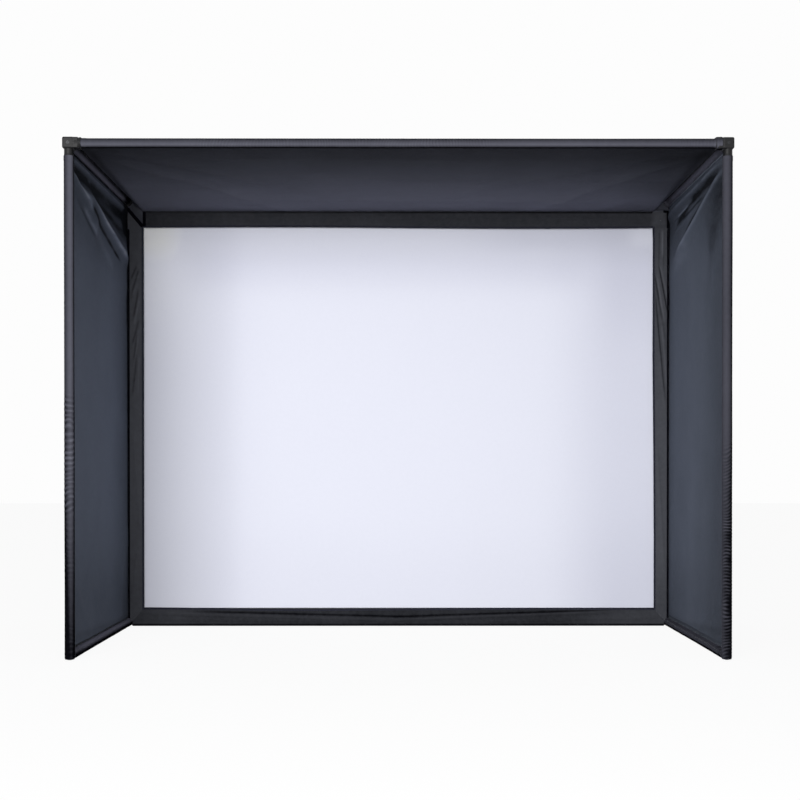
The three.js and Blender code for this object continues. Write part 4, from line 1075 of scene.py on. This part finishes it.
def flap_place(which, u, v):
    """(x, z) of a flap: u runs along it and v from its free edge (0) to its sewn edge (1)."""
    corner = FLAP_SIDE - OPEN_RIGHT
    if which in ("left", "right"):
        sign = -1 if which == "left" else 1
        inner = -OPEN_LEFT if sign < 0 else OPEN_RIGHT
        # Its foot passes behind the bottom flap's mitred end.
        low = np.maximum(OPEN_BOTTOM - 0.020 - v * (OPEN_BOTTOM - 0.030), 0.008)
        high = OPEN_TOP + v * (FLAP_SIDE - inner)
        z = low + u * (high - low)
        if sign > 0:
            inner = OPEN_RIGHT + np.interp(z, *zip(*RIGHT_LEAN))
        return sign * (inner + v * (FLAP_SIDE - inner)), z
    # The others are mitred at their ends; above its mitres the top one is as wide as the frame.
    top = which == "top"
    outer = FLAP_SIDE if top else BOTTOM_SIDE
    grow = np.clip(v / (corner / (FLAP_TOP - OPEN_TOP) if top else 0.75), 0, 1)
    near = OPEN_RIGHT if top else OPEN_RIGHT + np.interp(OPEN_BOTTOM, *zip(*RIGHT_LEAN))
    left = OPEN_LEFT - grow * (outer - abs(OPEN_LEFT))
    x = left + u * (near + grow * (outer - near) - left)
    if top:
        # Its free edge rises a little at the left and falls at the right.
        wave = -0.0040 * np.sin(math.pi * x / OPEN_RIGHT)
        return x, OPEN_TOP + wave * (1 - v) + np.clip(v, 0, 1) * (FLAP_TOP - OPEN_TOP)
    return x, (OPEN_BOTTOM - bottom_sag(x)) * (1 - v) + FLAP_FOOT * v


def flap_point(which, u, v):
    u, v = np.broadcast_arrays(np.asarray(u, float), np.asarray(v, float))
    x, z = flap_place(which, u, v)
    y = FLAP_Y - flap_forward(x, z)
    if which == "top":
        # The sewn edge curls back to the underside of the rear header's sleeve.
        start, height, depth = FLAP_CURL
        curl = rise(z, start, height)
        y = FLAP_Y - flap_forward(x, z) * (1 - curl) + depth * curl
    elif which == "bottom":
        y = y - 0.0024
    return np.stack([x, y, z], -1)


def flap_tone(which, x, z):
    """Painted light and shade on a flap: its own level of painted light, painted highlights and shade along
    its folds, painted light or shade towards its ends, and black painted shadow at the right flap's outer
    edge and the bottom flap's foot.
    """
    tone = strokes(x, z, FLAP_TONES)
    if which == "left":
        return 0.53 + tone - 0.08 * rise(z, 0.9, -0.8) - 0.09 * rise(z, 1.7, 0.4)
    if which == "right":
        tone = 0.51 + tone - 0.10 * rise(z, 1.1, 0.6) - 0.10 * rise(z, 0.45, -0.4)
        return tone - 0.60 * rise(x, 1.563, 0.008)
    if which == "top":
        return 0.27 + tone + 0.16 * rise(x, 1.462, 0.030) - 0.05 * rise(x, -0.95, -0.35)
    return (0.175 + tone + 0.15 * rise(np.abs(x), 0.9, 0.5)) * rise(z, 0.009, 0.008)


# Rows across each flap, and the distance from its free edge to its sewn edge.
FLAP_ROWS = {"left": 30, "right": 30, "top": 28, "bottom": 28}
FLAP_REACH = {"left": FLAP_SIDE + OPEN_LEFT, "right": FLAP_SIDE - OPEN_RIGHT, "top": FLAP_TOP - OPEN_TOP,
              "bottom": OPEN_BOTTOM - FLAP_FOOT}
FLAP_COLUMNS = 300
LAYER = FLAP_THICKNESS + 0.0014

flap_lines = []


def flap_layer(which, kind, u, v, thickness, material, forward=0.0, tone=None):
    u, v = grid(u, v)
    points = flap_point(which, u, v) - np.array([0, forward, 0])
    crest = 0.5 if tone is None else tone(which, points[..., 0], points[..., 2])
    return cloth_piece(f"{which}_border_{kind}", points, points[..., [0, 2]], thickness, material,
                       slot="border_fabric", crest=crest, flip=which in ("left", "bottom"))


def flap_stitches(which, u, v, forward):
    flap_lines.append((flap_point(which, u, v) - np.array([0, forward, 0]), (0, -1, 0)))


for which, rows in FLAP_ROWS.items():
    reach = FLAP_REACH[which]
    flap_layer(which, "cloth", np.linspace(0, 1, FLAP_COLUMNS), np.linspace(0, 1, rows),
                              FLAP_THICKNESS, BORDER, tone=flap_tone)
    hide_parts(f"{which}_border_flap")
    # Folded hem along the free edge: a second, thicker layer in front of the cloth, dark so as to paint the
    # shadow line at the screen's edge.
    hem_v = np.array([-0.0012, 0.3 * FLAP_HEM, 0.8 * FLAP_HEM, FLAP_HEM]) / reach
    attach(which + "_border", flap_layer(which, "hem", np.linspace(0.001, 0.999, FLAP_COLUMNS), hem_v, LAYER,
                                         HEM_AND_SHADE))
    if which in ("left", "right"):
        # Black binding over the seam with the side panel; its black paints the deep shade along that
        # junction.
        binding_v = 1 + np.array([-0.0105, -0.007, -0.003, 0.0]) / reach
        attach(which + "_border", flap_layer(which, "binding", np.linspace(0.004, 0.960, FLAP_COLUMNS),
                                             binding_v, LAYER, BINDING_AND_SHADE, forward=0.0004))
    run = np.linspace(0.004, 0.996, 400)
    flap_stitches(which, run, np.full_like(run, 0.8 * FLAP_HEM / reach), 0.00125)
# Stitching down each mitre.
for which in ("left", "right"):
    for end in (0.0, 1.0):
        flap_stitches(which, np.abs(end - 0.004), np.linspace(0.02, 0.98, 40), 0.0006)
stitching("border_stitching", flap_lines, slot="border_fabric")

# Gussets of roof cloth at the rear top corners, from the roof's rear seam down past the
# # corner fitting's arm. The left one goes on to the mitre and is bound in black down both
# # sides; the black binding paints the deep shade along the mitre.
GUSSET_FAR, GUSSET_NEAR = 1.5715, 1.4850     # from the middle plane
GUSSET_LOW = {"left": (2.4300, 2.3260), "right": (2.4180, 2.4060)}    # its height at either side
ARM_CLEAR = 0.0305
CORNER_BINDING = 0.0016


def gusset_point(which, u, v):
    """u runs from the rear corner to the near side, and v down to the gusset's lower edge."""
    sign = -1 if which == "left" else 1
    x = sign * (GUSSET_FAR + (GUSSET_NEAR - GUSSET_FAR) * u)
    arm = HIGH - np.sqrt(np.clip(ARM_CLEAR**2 - (np.abs(x) - TUBE_X)**2, 0, None))
    top = np.minimum(arm, HIGH - roof_drop(x, ROOF_END) - 0.0025)
    far, near = GUSSET_LOW[which]
    z = top + (far + (near - far) * u - top) * v
    y = FLAP_Y - 0.0046 - 0.004 * np.sin(math.pi * u) * np.sin(math.pi * v)
    if sign > 0:
        y = np.minimum(y, FLAP_Y - 0.0016 - flap_forward(x, z))
    return np.stack([x, y, z], -1)


def corner_piece(name, points, thickness, material, crest=0.5):
    attach("roof", cloth_piece(name, points, points[..., [0, 2]], thickness, material, slot="roof_fabric",
                               crest=crest))


u, v = grid(np.linspace(0, 1, 28), np.linspace(0, 1, 20), "ij")
corner_piece("left_mitre_gusset", gusset_point("left", u, v), PANEL_THICKNESS, ROOF, 0.56 - 0.22 * v)
corner_piece("right_corner_gusset", gusset_point("right", u, v)[::-1], PANEL_THICKNESS, ROOF, 0.7)
# Black bindings, which paint shade, along the left gusset: (name, start, end, inner shift, outer shift),
# shifts in (x, z).
for name, start, end, inward, outward in (
        ("left_mitre_binding", (0, 1), (1, 1), (0.0060, 0.0050), (-0.0092, -0.0077)),
        ("left_mitre_end_binding", (1, 0), (1, 1), (0.0, 0.0), (0.0170, 0.0))):
    t, across = grid(np.linspace(0, 1, 30), np.linspace(0, 1, 5), "ij")
    points = gusset_point("left", *[start[k] + (end[k] - start[k]) * t for k in (0, 1)])
    shift = np.subtract(outward, inward)
    points = points - np.array([0, 0.0014, 0]) + np.stack(
        [inward[0] + shift[0] * across, 0 * t, inward[1] + shift[1] * across], -1)
    corner_piece(name, points[:, ::-1] if outward[0] > 0 else points, CORNER_BINDING, BINDING_AND_SHADE)
# Black binding over the top and the outer side of the right corner's bulge, painting the shade round it.
for name, left, low, high in (("right_corner_binding", 1.538, 2.4030, 2.4170),
                              ("right_corner_side_binding", 1.5610, 2.3150, 2.4020)):
    a, b = grid(np.linspace(left, FLAP_SIDE - 0.0006, 16), np.linspace(low, high, 24), "ij")
    corner_piece(name, np.stack([a, FLAP_Y - flap_forward(a, b) - 0.0034, b], -1), CORNER_BINDING, BINDING_AND_SHADE)

# ---------------------------------------------------------------- screen and its hem

SCREEN_THICKNESS = 0.0012
SCREEN_LAP = 0.0005
HEM_THICKNESS = 0.003
HEM_LAP = 0.006
EYELET_HALF = 0.0044
STRIP_THICKNESS = 0.0016

# A laced edge's middle (x, z), the way along it, the way in from it, and its length.
EDGES = {
    "left": ((-TUBE_X, MIDDLE), (0, 1), (1, 0), HEIGHT),
    "right": ((TUBE_X, MIDDLE), (0, 1), (-1, 0), HEIGHT),
    "top": ((0, HIGH), (1, 0), (0, -1), WIDTH),
    "bottom": ((0, LOW), (1, 0), (0, 1), WIDTH),
}


def edge_point(edge, along, inset, depth=0.0):
    """Place on a laced edge: distance along it, inset from its tube, and depth behind it."""
    centre, run, inward, _ = EDGES[edge]
    along, inset, depth = np.broadcast_arrays(np.asarray(along, float), inset, depth)
    return np.stack([centre[0] + run[0] * along + inward[0] * inset, TUBE_Y + depth,
                     centre[1] + run[1] * along + inward[1] * inset], -1)


def laced(edge):
    """The laced length of an edge, and the number of its hem's eyelets."""
    span = EDGES[edge][3] - 2 * STRIP_END
    return span, round(span / LACING_PITCH)


def hem_places(edge):
    span, count = laced(edge)
    return (np.arange(count) - (count - 1) / 2) * span / count


def between(places):
    return (places[1:] + places[:-1]) / 2


def screen_depth(x, z):
    """The stretched screen: a slight belly, and pull lines from its eyelets."""
    half, low, high = TUBE_X - SCREEN_INSET, LOW + SCREEN_INSET, HIGH - SCREEN_INSET
    depth = 0.0035 * (1 - (x / half)**2) * np.sin(math.pi * np.clip((z - low) / (high - low), 0, 1))
    for edge, (centre, run, inward, _) in EDGES.items():
        along = (x - centre[0]) * run[0] + (z - centre[1]) * run[1]
        inset = (x - centre[0]) * inward[0] + (z - centre[1]) * inward[1] - SCREEN_INSET
        span, count = laced(edge)
        phase = along / (span / count) + (0.5 if count % 2 == 0 else 0.0)
        depth = depth + 0.0010 * np.cos(TURN * phase) * np.exp(-np.clip(inset, 0, None) / 0.07)
    return depth


def screen_tone(x, z):
    """Painted light and shade on the screen: palest in its middle and at its top left corner, with painted
    shade under the roof, on the right, on the left and near its foot.
    """
    across = (1 + 0.25 * rise(x, 0.20, 0.80)) * (1 - 0.55 * rise(x, 0.90, 0.30))
    across = across * (1 - 0.80 * rise(x, -1.15, -0.20))
    dark = 0.28 * bell(z, 2.10, 0.13) * across                            # the top
    dark = dark + 0.20 * bell(x, 0.80, 0.35) * rise(z, 2.15, 0.10)        # its edge
    dark = dark + rise(x, 0.80, 0.50) * (0.30 + 0.06 * rise(z, 0.95, -0.70))    # the right
    dark = dark + 0.15 * rise(x, 1.05, 0.25) * bell(z, 1.92, 0.26)
    dark = dark + 0.14 * bell(x, -1.03, 0.20) + 0.07 * rise(z, 0.70, -0.50)     # the left, the foot
    painted_light = 0.21 * rise(x, -0.95, -0.45) * rise(z, 1.45, 0.70)             # the corners
    painted_light = painted_light + 0.45 * rise(x, -1.22, -0.20) * rise(z, 2.10, 0.16)
    painted_light = painted_light + 0.25 * rise(x, 1.30, 0.12) * rise(z, 2.18, 0.08)
    return SCREEN_MIDDLE + painted_light - dark


def make_screen():
    edge = SCREEN_INSET + SCREEN_LAP
    half, low, high = TUBE_X - edge, LOW + edge, HIGH - edge
    x, z = grid(np.linspace(-half, half, 150), np.linspace(low, high, 116))
    held = np.minimum(half - np.abs(x), np.minimum(z - low, high - z)) / 0.02
    y = TUBE_Y + screen_depth(x, z) * np.minimum(1, held)
    made = cloth_piece("screen_cloth", np.stack([x, y, z], -1), pairs(x, z), SCREEN_THICKNESS, SCREEN,
                       body="screen", slot="screen_fabric", crest=screen_tone(x, z))
    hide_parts("impact_screen")
    return made


def holed_strip(name, edge, inner, outer, first, places, eyelet_inset, thickness, body):
    """Flat webbing along a laced edge, with a square hole under each eyelet."""
    cuts = np.sort(np.concatenate([places - EYELET_HALF, places + EYELET_HALF]))
    plain = np.linspace(first, -first, int(-2 * first / 0.05))
    plain = plain[np.min(np.abs(plain[:, None] - cuts[None]), axis=1) > 0.004]
    along = np.sort(np.concatenate([plain, cuts]))
    inset = np.array([inner, eyelet_inset - EYELET_HALF, eyelet_inset + EYELET_HALF, outer])
    a, b = grid(along, inset, "ij")
    hole = np.min(np.abs(between(along)[:, None] - places[None]), axis=1) < EYELET_HALF * 0.9
    keep = np.ones((len(along) - 1, len(inset) - 1), bool)
    keep[hole, 1] = False
    return cloth_piece(name, edge_point(edge, a, b), pairs(a, b), thickness, WEBBING, keep=keep, body=body,
                       slot="webbing")


def eyelets(name, edge, places, inset, thickness, body):
    """Rolled metal eyelets round the Y axis, as one piece."""
    h = thickness / 2
    front = [(0.0043, -h * 0.4), (0.0045, -h - 0.0004), (0.0054, -h - 0.0009), (0.0074, -h - 0.0008),
             (0.0090, -h - 0.0003), (0.0093, -h + 0.0002)]
    rear = [(radius, -y) for radius, y in front[::-1]]
    profile = np.array([*front, (0.0060, -h + 0.0003), (0.0056, h - 0.0003), *rear])
    angle = ring_angles(22)
    radius, y = profile[:, None, 0], profile[:, None, 1]
    level = np.broadcast_to(y, (len(profile), 22))
    ring = np.stack([radius * np.cos(angle), level, radius * np.sin(angle)], -1).reshape(-1, 3)
    faces = ring_faces(len(profile), 22, True)[0]
    flat = ring[:, [0, 2]]
    points, faces, uv = joined([(ring + edge_point(edge, at, inset), faces, flat) for at in places])
    return make(name, points, faces, PLATED, body=body, slot="spring_steel", uv=uv)


screen = make_screen()
screen_extras, sleeve_extras = [], {}
hem_lines = []
for edge, (_, _, _, length) in EDGES.items():
    standing = edge in ("left", "right")
    half = length / 2 - (HEM_OUTER_INSET if standing else SCREEN_INSET)
    thickness = HEM_THICKNESS if standing else HEM_THICKNESS - 0.0004
    places = hem_places(edge)
    hem = holed_strip(f"{edge}_hem_webbing", edge, HEM_OUTER_INSET, SCREEN_INSET + HEM_LAP, -half, places,
                      HEM_EYELET_INSET, thickness, "screen")
    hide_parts(f"{edge}_screen_hem")
    screen_extras += [hem, eyelets(f"{edge}_hem_eyelets", edge, places, HEM_EYELET_INSET, thickness,
                                   "screen")]
    run = np.linspace(-half + 0.004, half - 0.004, 300)
    for inset in (HEM_OUTER_INSET + 0.003, SCREEN_INSET + 0.003):
        for face in (-1, 1):
            hem_lines.append((edge_point(edge, run, inset, face * (thickness / 2 + 0.0001)), (0, face, 0)))
    # Eyelet strip sewn into the rear sleeve.
    places = between(places)
    strip = holed_strip(f"{edge}_eyelet_strip", edge, SLEEVE_RADIUS - 0.0004, STRIP_EDGE_INSET,
                        -length / 2 + STRIP_END, places, STRIP_EYELET_INSET, STRIP_THICKNESS, "frame")
    sleeve_extras[edge] = [strip, eyelets(f"{edge}_strip_eyelets", edge, places, STRIP_EYELET_INSET,
                                          STRIP_THICKNESS, "frame")]
screen_extras.append(stitching("screen_hem_stitching", hem_lines, material=PALE_THREAD, slot="webbing",
                               body="screen", pitch=0.0075, length=0.0054))

# ---------------------------------------------------------------- lacing

CORD_LIFT_HEM = 0.0050
CORD_LIFT_STRIP = 0.0043
KNOT_SIZE = 0.0023
KNOT_DEPTH = 0.0085
# A loose tail's points from its knot: inwards, depth (turned with the knot), and down.
TAIL = ((0.003, 0, 0), (0.010, 0.001, -0.004), (0.013, 0.001, -0.014), (0.0135, 0.0005, -0.030))


def knot_path(centre, size):
    """Overhand knot pulled tight, as a closed-looking loop round the Y axis."""
    t = np.linspace(0.25, 2 * math.pi + 0.05, 60)
    x = np.sin(t) + 2 * np.sin(2 * t)
    z = np.cos(t) - 2 * np.cos(2 * t)
    y = -np.sin(3 * t)
    return np.asarray(centre) + size * np.stack([x, 1.15 * y, z], -1)


def lacing_path(edge):
    """The cord's route through the eyelets, with extra points along each stretch."""
    places, middles = hem_places(edge), between(hem_places(edge))
    route = []
    for k, at in enumerate(places):
        route += [edge_point(edge, at, HEM_EYELET_INSET, lift) for lift in (CORD_LIFT_HEM, -CORD_LIFT_HEM)]
        if k < len(middles):
            route += [edge_point(edge, middles[k], STRIP_EYELET_INSET, lift)
                      for lift in (-CORD_LIFT_STRIP, CORD_LIFT_STRIP)]
    path = rounded_path(route, 0.0042)
    filled = []
    for a, b in zip(path, path[1:]):
        count = max(1, int(np.linalg.norm(b - a) / 0.02))
        filled += [a + (b - a) * k / count for k in range(count)]
    return np.asarray([*filled, path[-1]])


def knots(edge):
    """A knot with its tail at either end of a lacing."""
    places = hem_places(edge)
    inward = np.array([EDGES[edge][2][0], 0, EDGES[edge][2][1]], float)
    parts = []
    for at, turn in ((places[0], 1), (places[-1], -1)):
        centre = edge_point(edge, at, HEM_EYELET_INSET, turn * KNOT_DEPTH)
        tail = [centre + inward * far + np.array([0, turn * depth, down]) for far, depth, down in TAIL]
        parts += [tube_along(path, CORD_RADIUS * 0.95)
                  for path in (knot_path(centre, KNOT_SIZE), rounded_path(tail, 0.008))]
    points, faces, uv = joined(parts)
    return make(f"{edge}_lacing_knots", points, faces, ELASTIC, body="screen", slot="elastic_cord", uv=uv)


for edge in EDGES:
    points, faces, uv = tube_along(lacing_path(edge), CORD_RADIUS)
    cord = make(f"{edge}_lacing", points, faces, ELASTIC, body=None, slot="elastic_cord", uv=uv)
    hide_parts(f"{edge}_shock_cord")
    still = edge_point(edge, 0.0, STRIP_EYELET_INSET + 0.004)
    moving = edge_point(edge, 0.0, HEM_EYELET_INSET - 0.006)
    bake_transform(cord)
    screen_extras.append(knots(edge))

# ---------------------------------------------------------------- corner mouldings

BLOCK_HALF = 0.0275
VOXEL = 0.0016
NECK = 0.0224
ARM_SKIN, ARM_RIB = BLOCK_HALF - 0.0005, BLOCK_HALF + 0.0007
LIP = SOCKET_LIP_RADIUS
# Turned profiles: (radius, distance along the axis).
SLIM_ARM = [(0.010, 0.0), (NECK, 0.004), (NECK, SOCKET_ARM - 0.0065), (NECK + 0.0009, SOCKET_ARM - 0.005),
            (NECK + 0.0009, SOCKET_ARM - 0.001), (NECK, SOCKET_ARM), (0.0200, SOCKET_ARM)]
RIBBED_ARM = [(0.010, 0.0), (ARM_SKIN, 0.004), (ARM_SKIN, 0.033), (ARM_RIB, 0.034), (ARM_RIB, 0.037),
              (ARM_SKIN, 0.038), (ARM_SKIN, 0.043), (ARM_RIB, 0.044), (ARM_RIB, 0.047), (ARM_SKIN, 0.048),
              (ARM_SKIN, 0.050), (LIP - 0.0002, 0.0515), (LIP, 0.053), (LIP, 0.0585),
              (LIP - 0.0010, SOCKET_ARM), (0.0200, SOCKET_ARM)]
SCREW_HEAD = [(0.0044, 0.0), (0.0044, 0.0010), (0.0039, 0.0017), (0.0024, 0.0021), (0.0022, 0.0010),
              (0.0004, 0.0009)]
WASHER = [(0.0046, 0.0), (0.0074, 0.0), (0.0078, 0.0005), (0.0074, 0.0010), (0.0046, 0.0010)]
HEADER_BOXES = (0.012, 0.0235)     # how far the boxes round the header's arm stand from the centre


def lathe_parts(profile, centre, along, sides=48):
    """Closed turned shape along an axis, as (points, faces, uv)."""
    across = np.array([0, 0, 1.0]) if abs(along[2]) < 0.5 else np.array([1.0, 0, 0])
    other = np.cross(along, across)
    angle = ring_angles(sides)
    ring = np.cos(angle)[:, None] * across + np.sin(angle)[:, None] * other
    points = np.concatenate([centre + along * s + ring * r for r, s in profile])
    faces = ring_faces(len(profile), sides)[0].tolist() + end_caps(len(profile), sides)
    return points, faces, points[:, :2]


def block_parts(half, centre, bevel):
    """Cube with rounded edges and corners, as (points, faces, uv)."""
    shape = bmesh.new()
    bmesh.ops.create_cube(shape, size=2 * half)
    bmesh.ops.bevel(shape, geom=list(shape.edges) + list(shape.verts), offset=bevel, segments=5, profile=0.5,
                    affect="EDGES")
    shape.verts.index_update()
    points = np.array([v.co for v in shape.verts]) + centre
    faces = [[v.index for v in face.verts] for face in shape.faces]
    shape.free()
    return points, faces, points[:, :2]


def melt_together(made, material):
    """Replaces overlapping shells by one skin with soft inner corners."""
    remesh = made.modifiers.new("union", "REMESH")
    remesh.mode = "VOXEL"
    remesh.voxel_size = VOXEL
    remesh.use_smooth_shade = True
    relax = made.modifiers.new("relax", "SMOOTH")
    relax.factor = 0.5
    relax.iterations = 3
    bpy.context.view_layer.update()
    evaluated = made.evaluated_get(bpy.context.evaluated_depsgraph_get())
    mesh = bpy.data.meshes.new_from_object(evaluated)
    made.modifiers.clear()
    made.data = mesh
    if not mesh.materials:
        mesh.materials.append(material)


def fitting(node_name, centre, arms):
    """Moulded three-way corner: block, ribbed sockets with lips, and a screw in each outer face."""
    centre = np.asarray(centre)
    arms = np.asarray(arms, float)
    shells = [block_parts(BLOCK_HALF, centre, 0.0075)]
    for arm in arms:
        shells.append(lathe_parts(SLIM_ARM if abs(arm[2]) > 0.5 else RIBBED_ARM, centre, arm))
        if abs(arm[0]) > 0.5 and centre[1] < 0:
            # The header's arm is boxed in as wide as the block, and ends in the lip.
            shells += [block_parts(BLOCK_HALF - 0.001, centre + arm * far, 0.006) for far in HEADER_BOXES]
    points, faces, _ = joined(shells)
    made = make(f"{node_name}_moulding", points, faces, MOULDING, slot="moulding", sharp=60)
    melt_together(made, MOULDING)
    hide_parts(node_name)
    heads = [lathe_parts(profile, centre - arm * (BLOCK_HALF - 0.0006), -arm, 24)
             for arm in arms for profile in (SCREW_HEAD, WASHER)]
    points, faces, uv = joined(heads)
    make(f"{node_name}_screws", points, faces, STEEL, slot="steel_tube", uv=uv)


for sign, side_name in SIDES:
    for end_sign, end_name in ((-1, "front"), (1, "rear")):
        fitting(f"{side_name}_{end_name}_top_corner", (sign * TUBE_X, end_sign * TUBE_Y, HIGH),
                ((-sign, 0, 0), (0, -end_sign, 0), (0, 0, -1)))

# ---------------------------------------------------------------- floor, light, world

BACKGROUND = 0.982
AMBIENT = 0.46
FLOOR_SHARE = 0.050
FLOOR_GLOW = 0.930
FLOOR_HALF = 30.0
FLOOR_Z = -0.0005


def seen_directly(tree):
    """1 for a ray from the camera, or by a reflection or through glass, and 0 for light."""
    path = node(tree, "ShaderNodeLightPath")
    both = maths(tree, "MAXIMUM", path.outputs["Is Camera Ray"], path.outputs["Is Glossy Ray"])
    return maths(tree, "MAXIMUM", both, path.outputs["Is Transmission Ray"])


def make_floor():
    material, tree = blank_material("floor")
    diffuse = node(tree, "ShaderNodeBsdfDiffuse", {"Color": colour((FLOOR_SHARE,) * 3)})
    strength = maths(tree, "MULTIPLY", seen_directly(tree), FLOOR_GLOW)
    glow = node(tree, "ShaderNodeEmission", {"Color": colour((1, 1, 1)), "Strength": strength})
    both = node(tree, "ShaderNodeAddShader", {0: diffuse.outputs[0], 1: glow.outputs[0]})
    node(tree, "ShaderNodeOutputMaterial", {"Surface": both.outputs[0]})
    corners = [(x * FLOOR_HALF, y * FLOOR_HALF, FLOOR_Z) for x, y in ((-1, -1), (1, -1), (1, 1), (-1, 1))]
    make("floor", corners, [(0, 1, 2, 3)], material, body=None)


def make_world():
    world = bpy.data.worlds.new("studio")
    world.use_nodes = True
    bpy.context.scene.world = world
    tree = world.node_tree
    tree.nodes.clear()
    light = node(tree, "ShaderNodeBackground", {"Color": (0.96, 0.98, 1.0, 1.0), "Strength": AMBIENT})
    shown = node(tree, "ShaderNodeBackground", {"Color": colour((BACKGROUND,) * 3), "Strength": 1.0})
    both = node(tree, "ShaderNodeMixShader",
                {0: seen_directly(tree), 1: light.outputs[0], 2: shown.outputs[0]})
    node(tree, "ShaderNodeOutputWorld", {"Surface": both.outputs[0]})


def area_light(name, place, target, size, power):
    data = bpy.data.lights.new(name, "AREA")
    data.shape = "RECTANGLE"
    data.size, data.size_y = size
    data.energy = power
    lamp = bpy.data.objects.new(name, data)
    lamp.location = place
    lamp.visible_camera = False
    heading = Vector(target) - Vector(place)
    lamp.rotation_euler = heading.to_track_quat("-Z", "Y").to_euler()
    bpy.context.scene.collection.objects.link(lamp)


make_floor()
make_world()
area_light("key", (-3.15, -10.1, 3.25), (0, 0.7, 1.2), (4.6, 3.0), 850)
area_light("fill", (0.5, -6.6, 1.4), (0, 0.74, 1.3), (2.2, 1.6), 150)

# The tubes, buttons and lower corners stay as the CAD has them, with materials only.
slots = {entry["node"]: entry["material_slot"] for entry in frame["record"]["subparts"]}
for name, obj in frame["nodes"].items():
    if slots[name] in CAD_FINISH:
        for entry in obj.material_slots:
            entry.material = CAD_FINISH[slots[name]]

bpy.context.scene.view_settings.view_transform = "Standard"
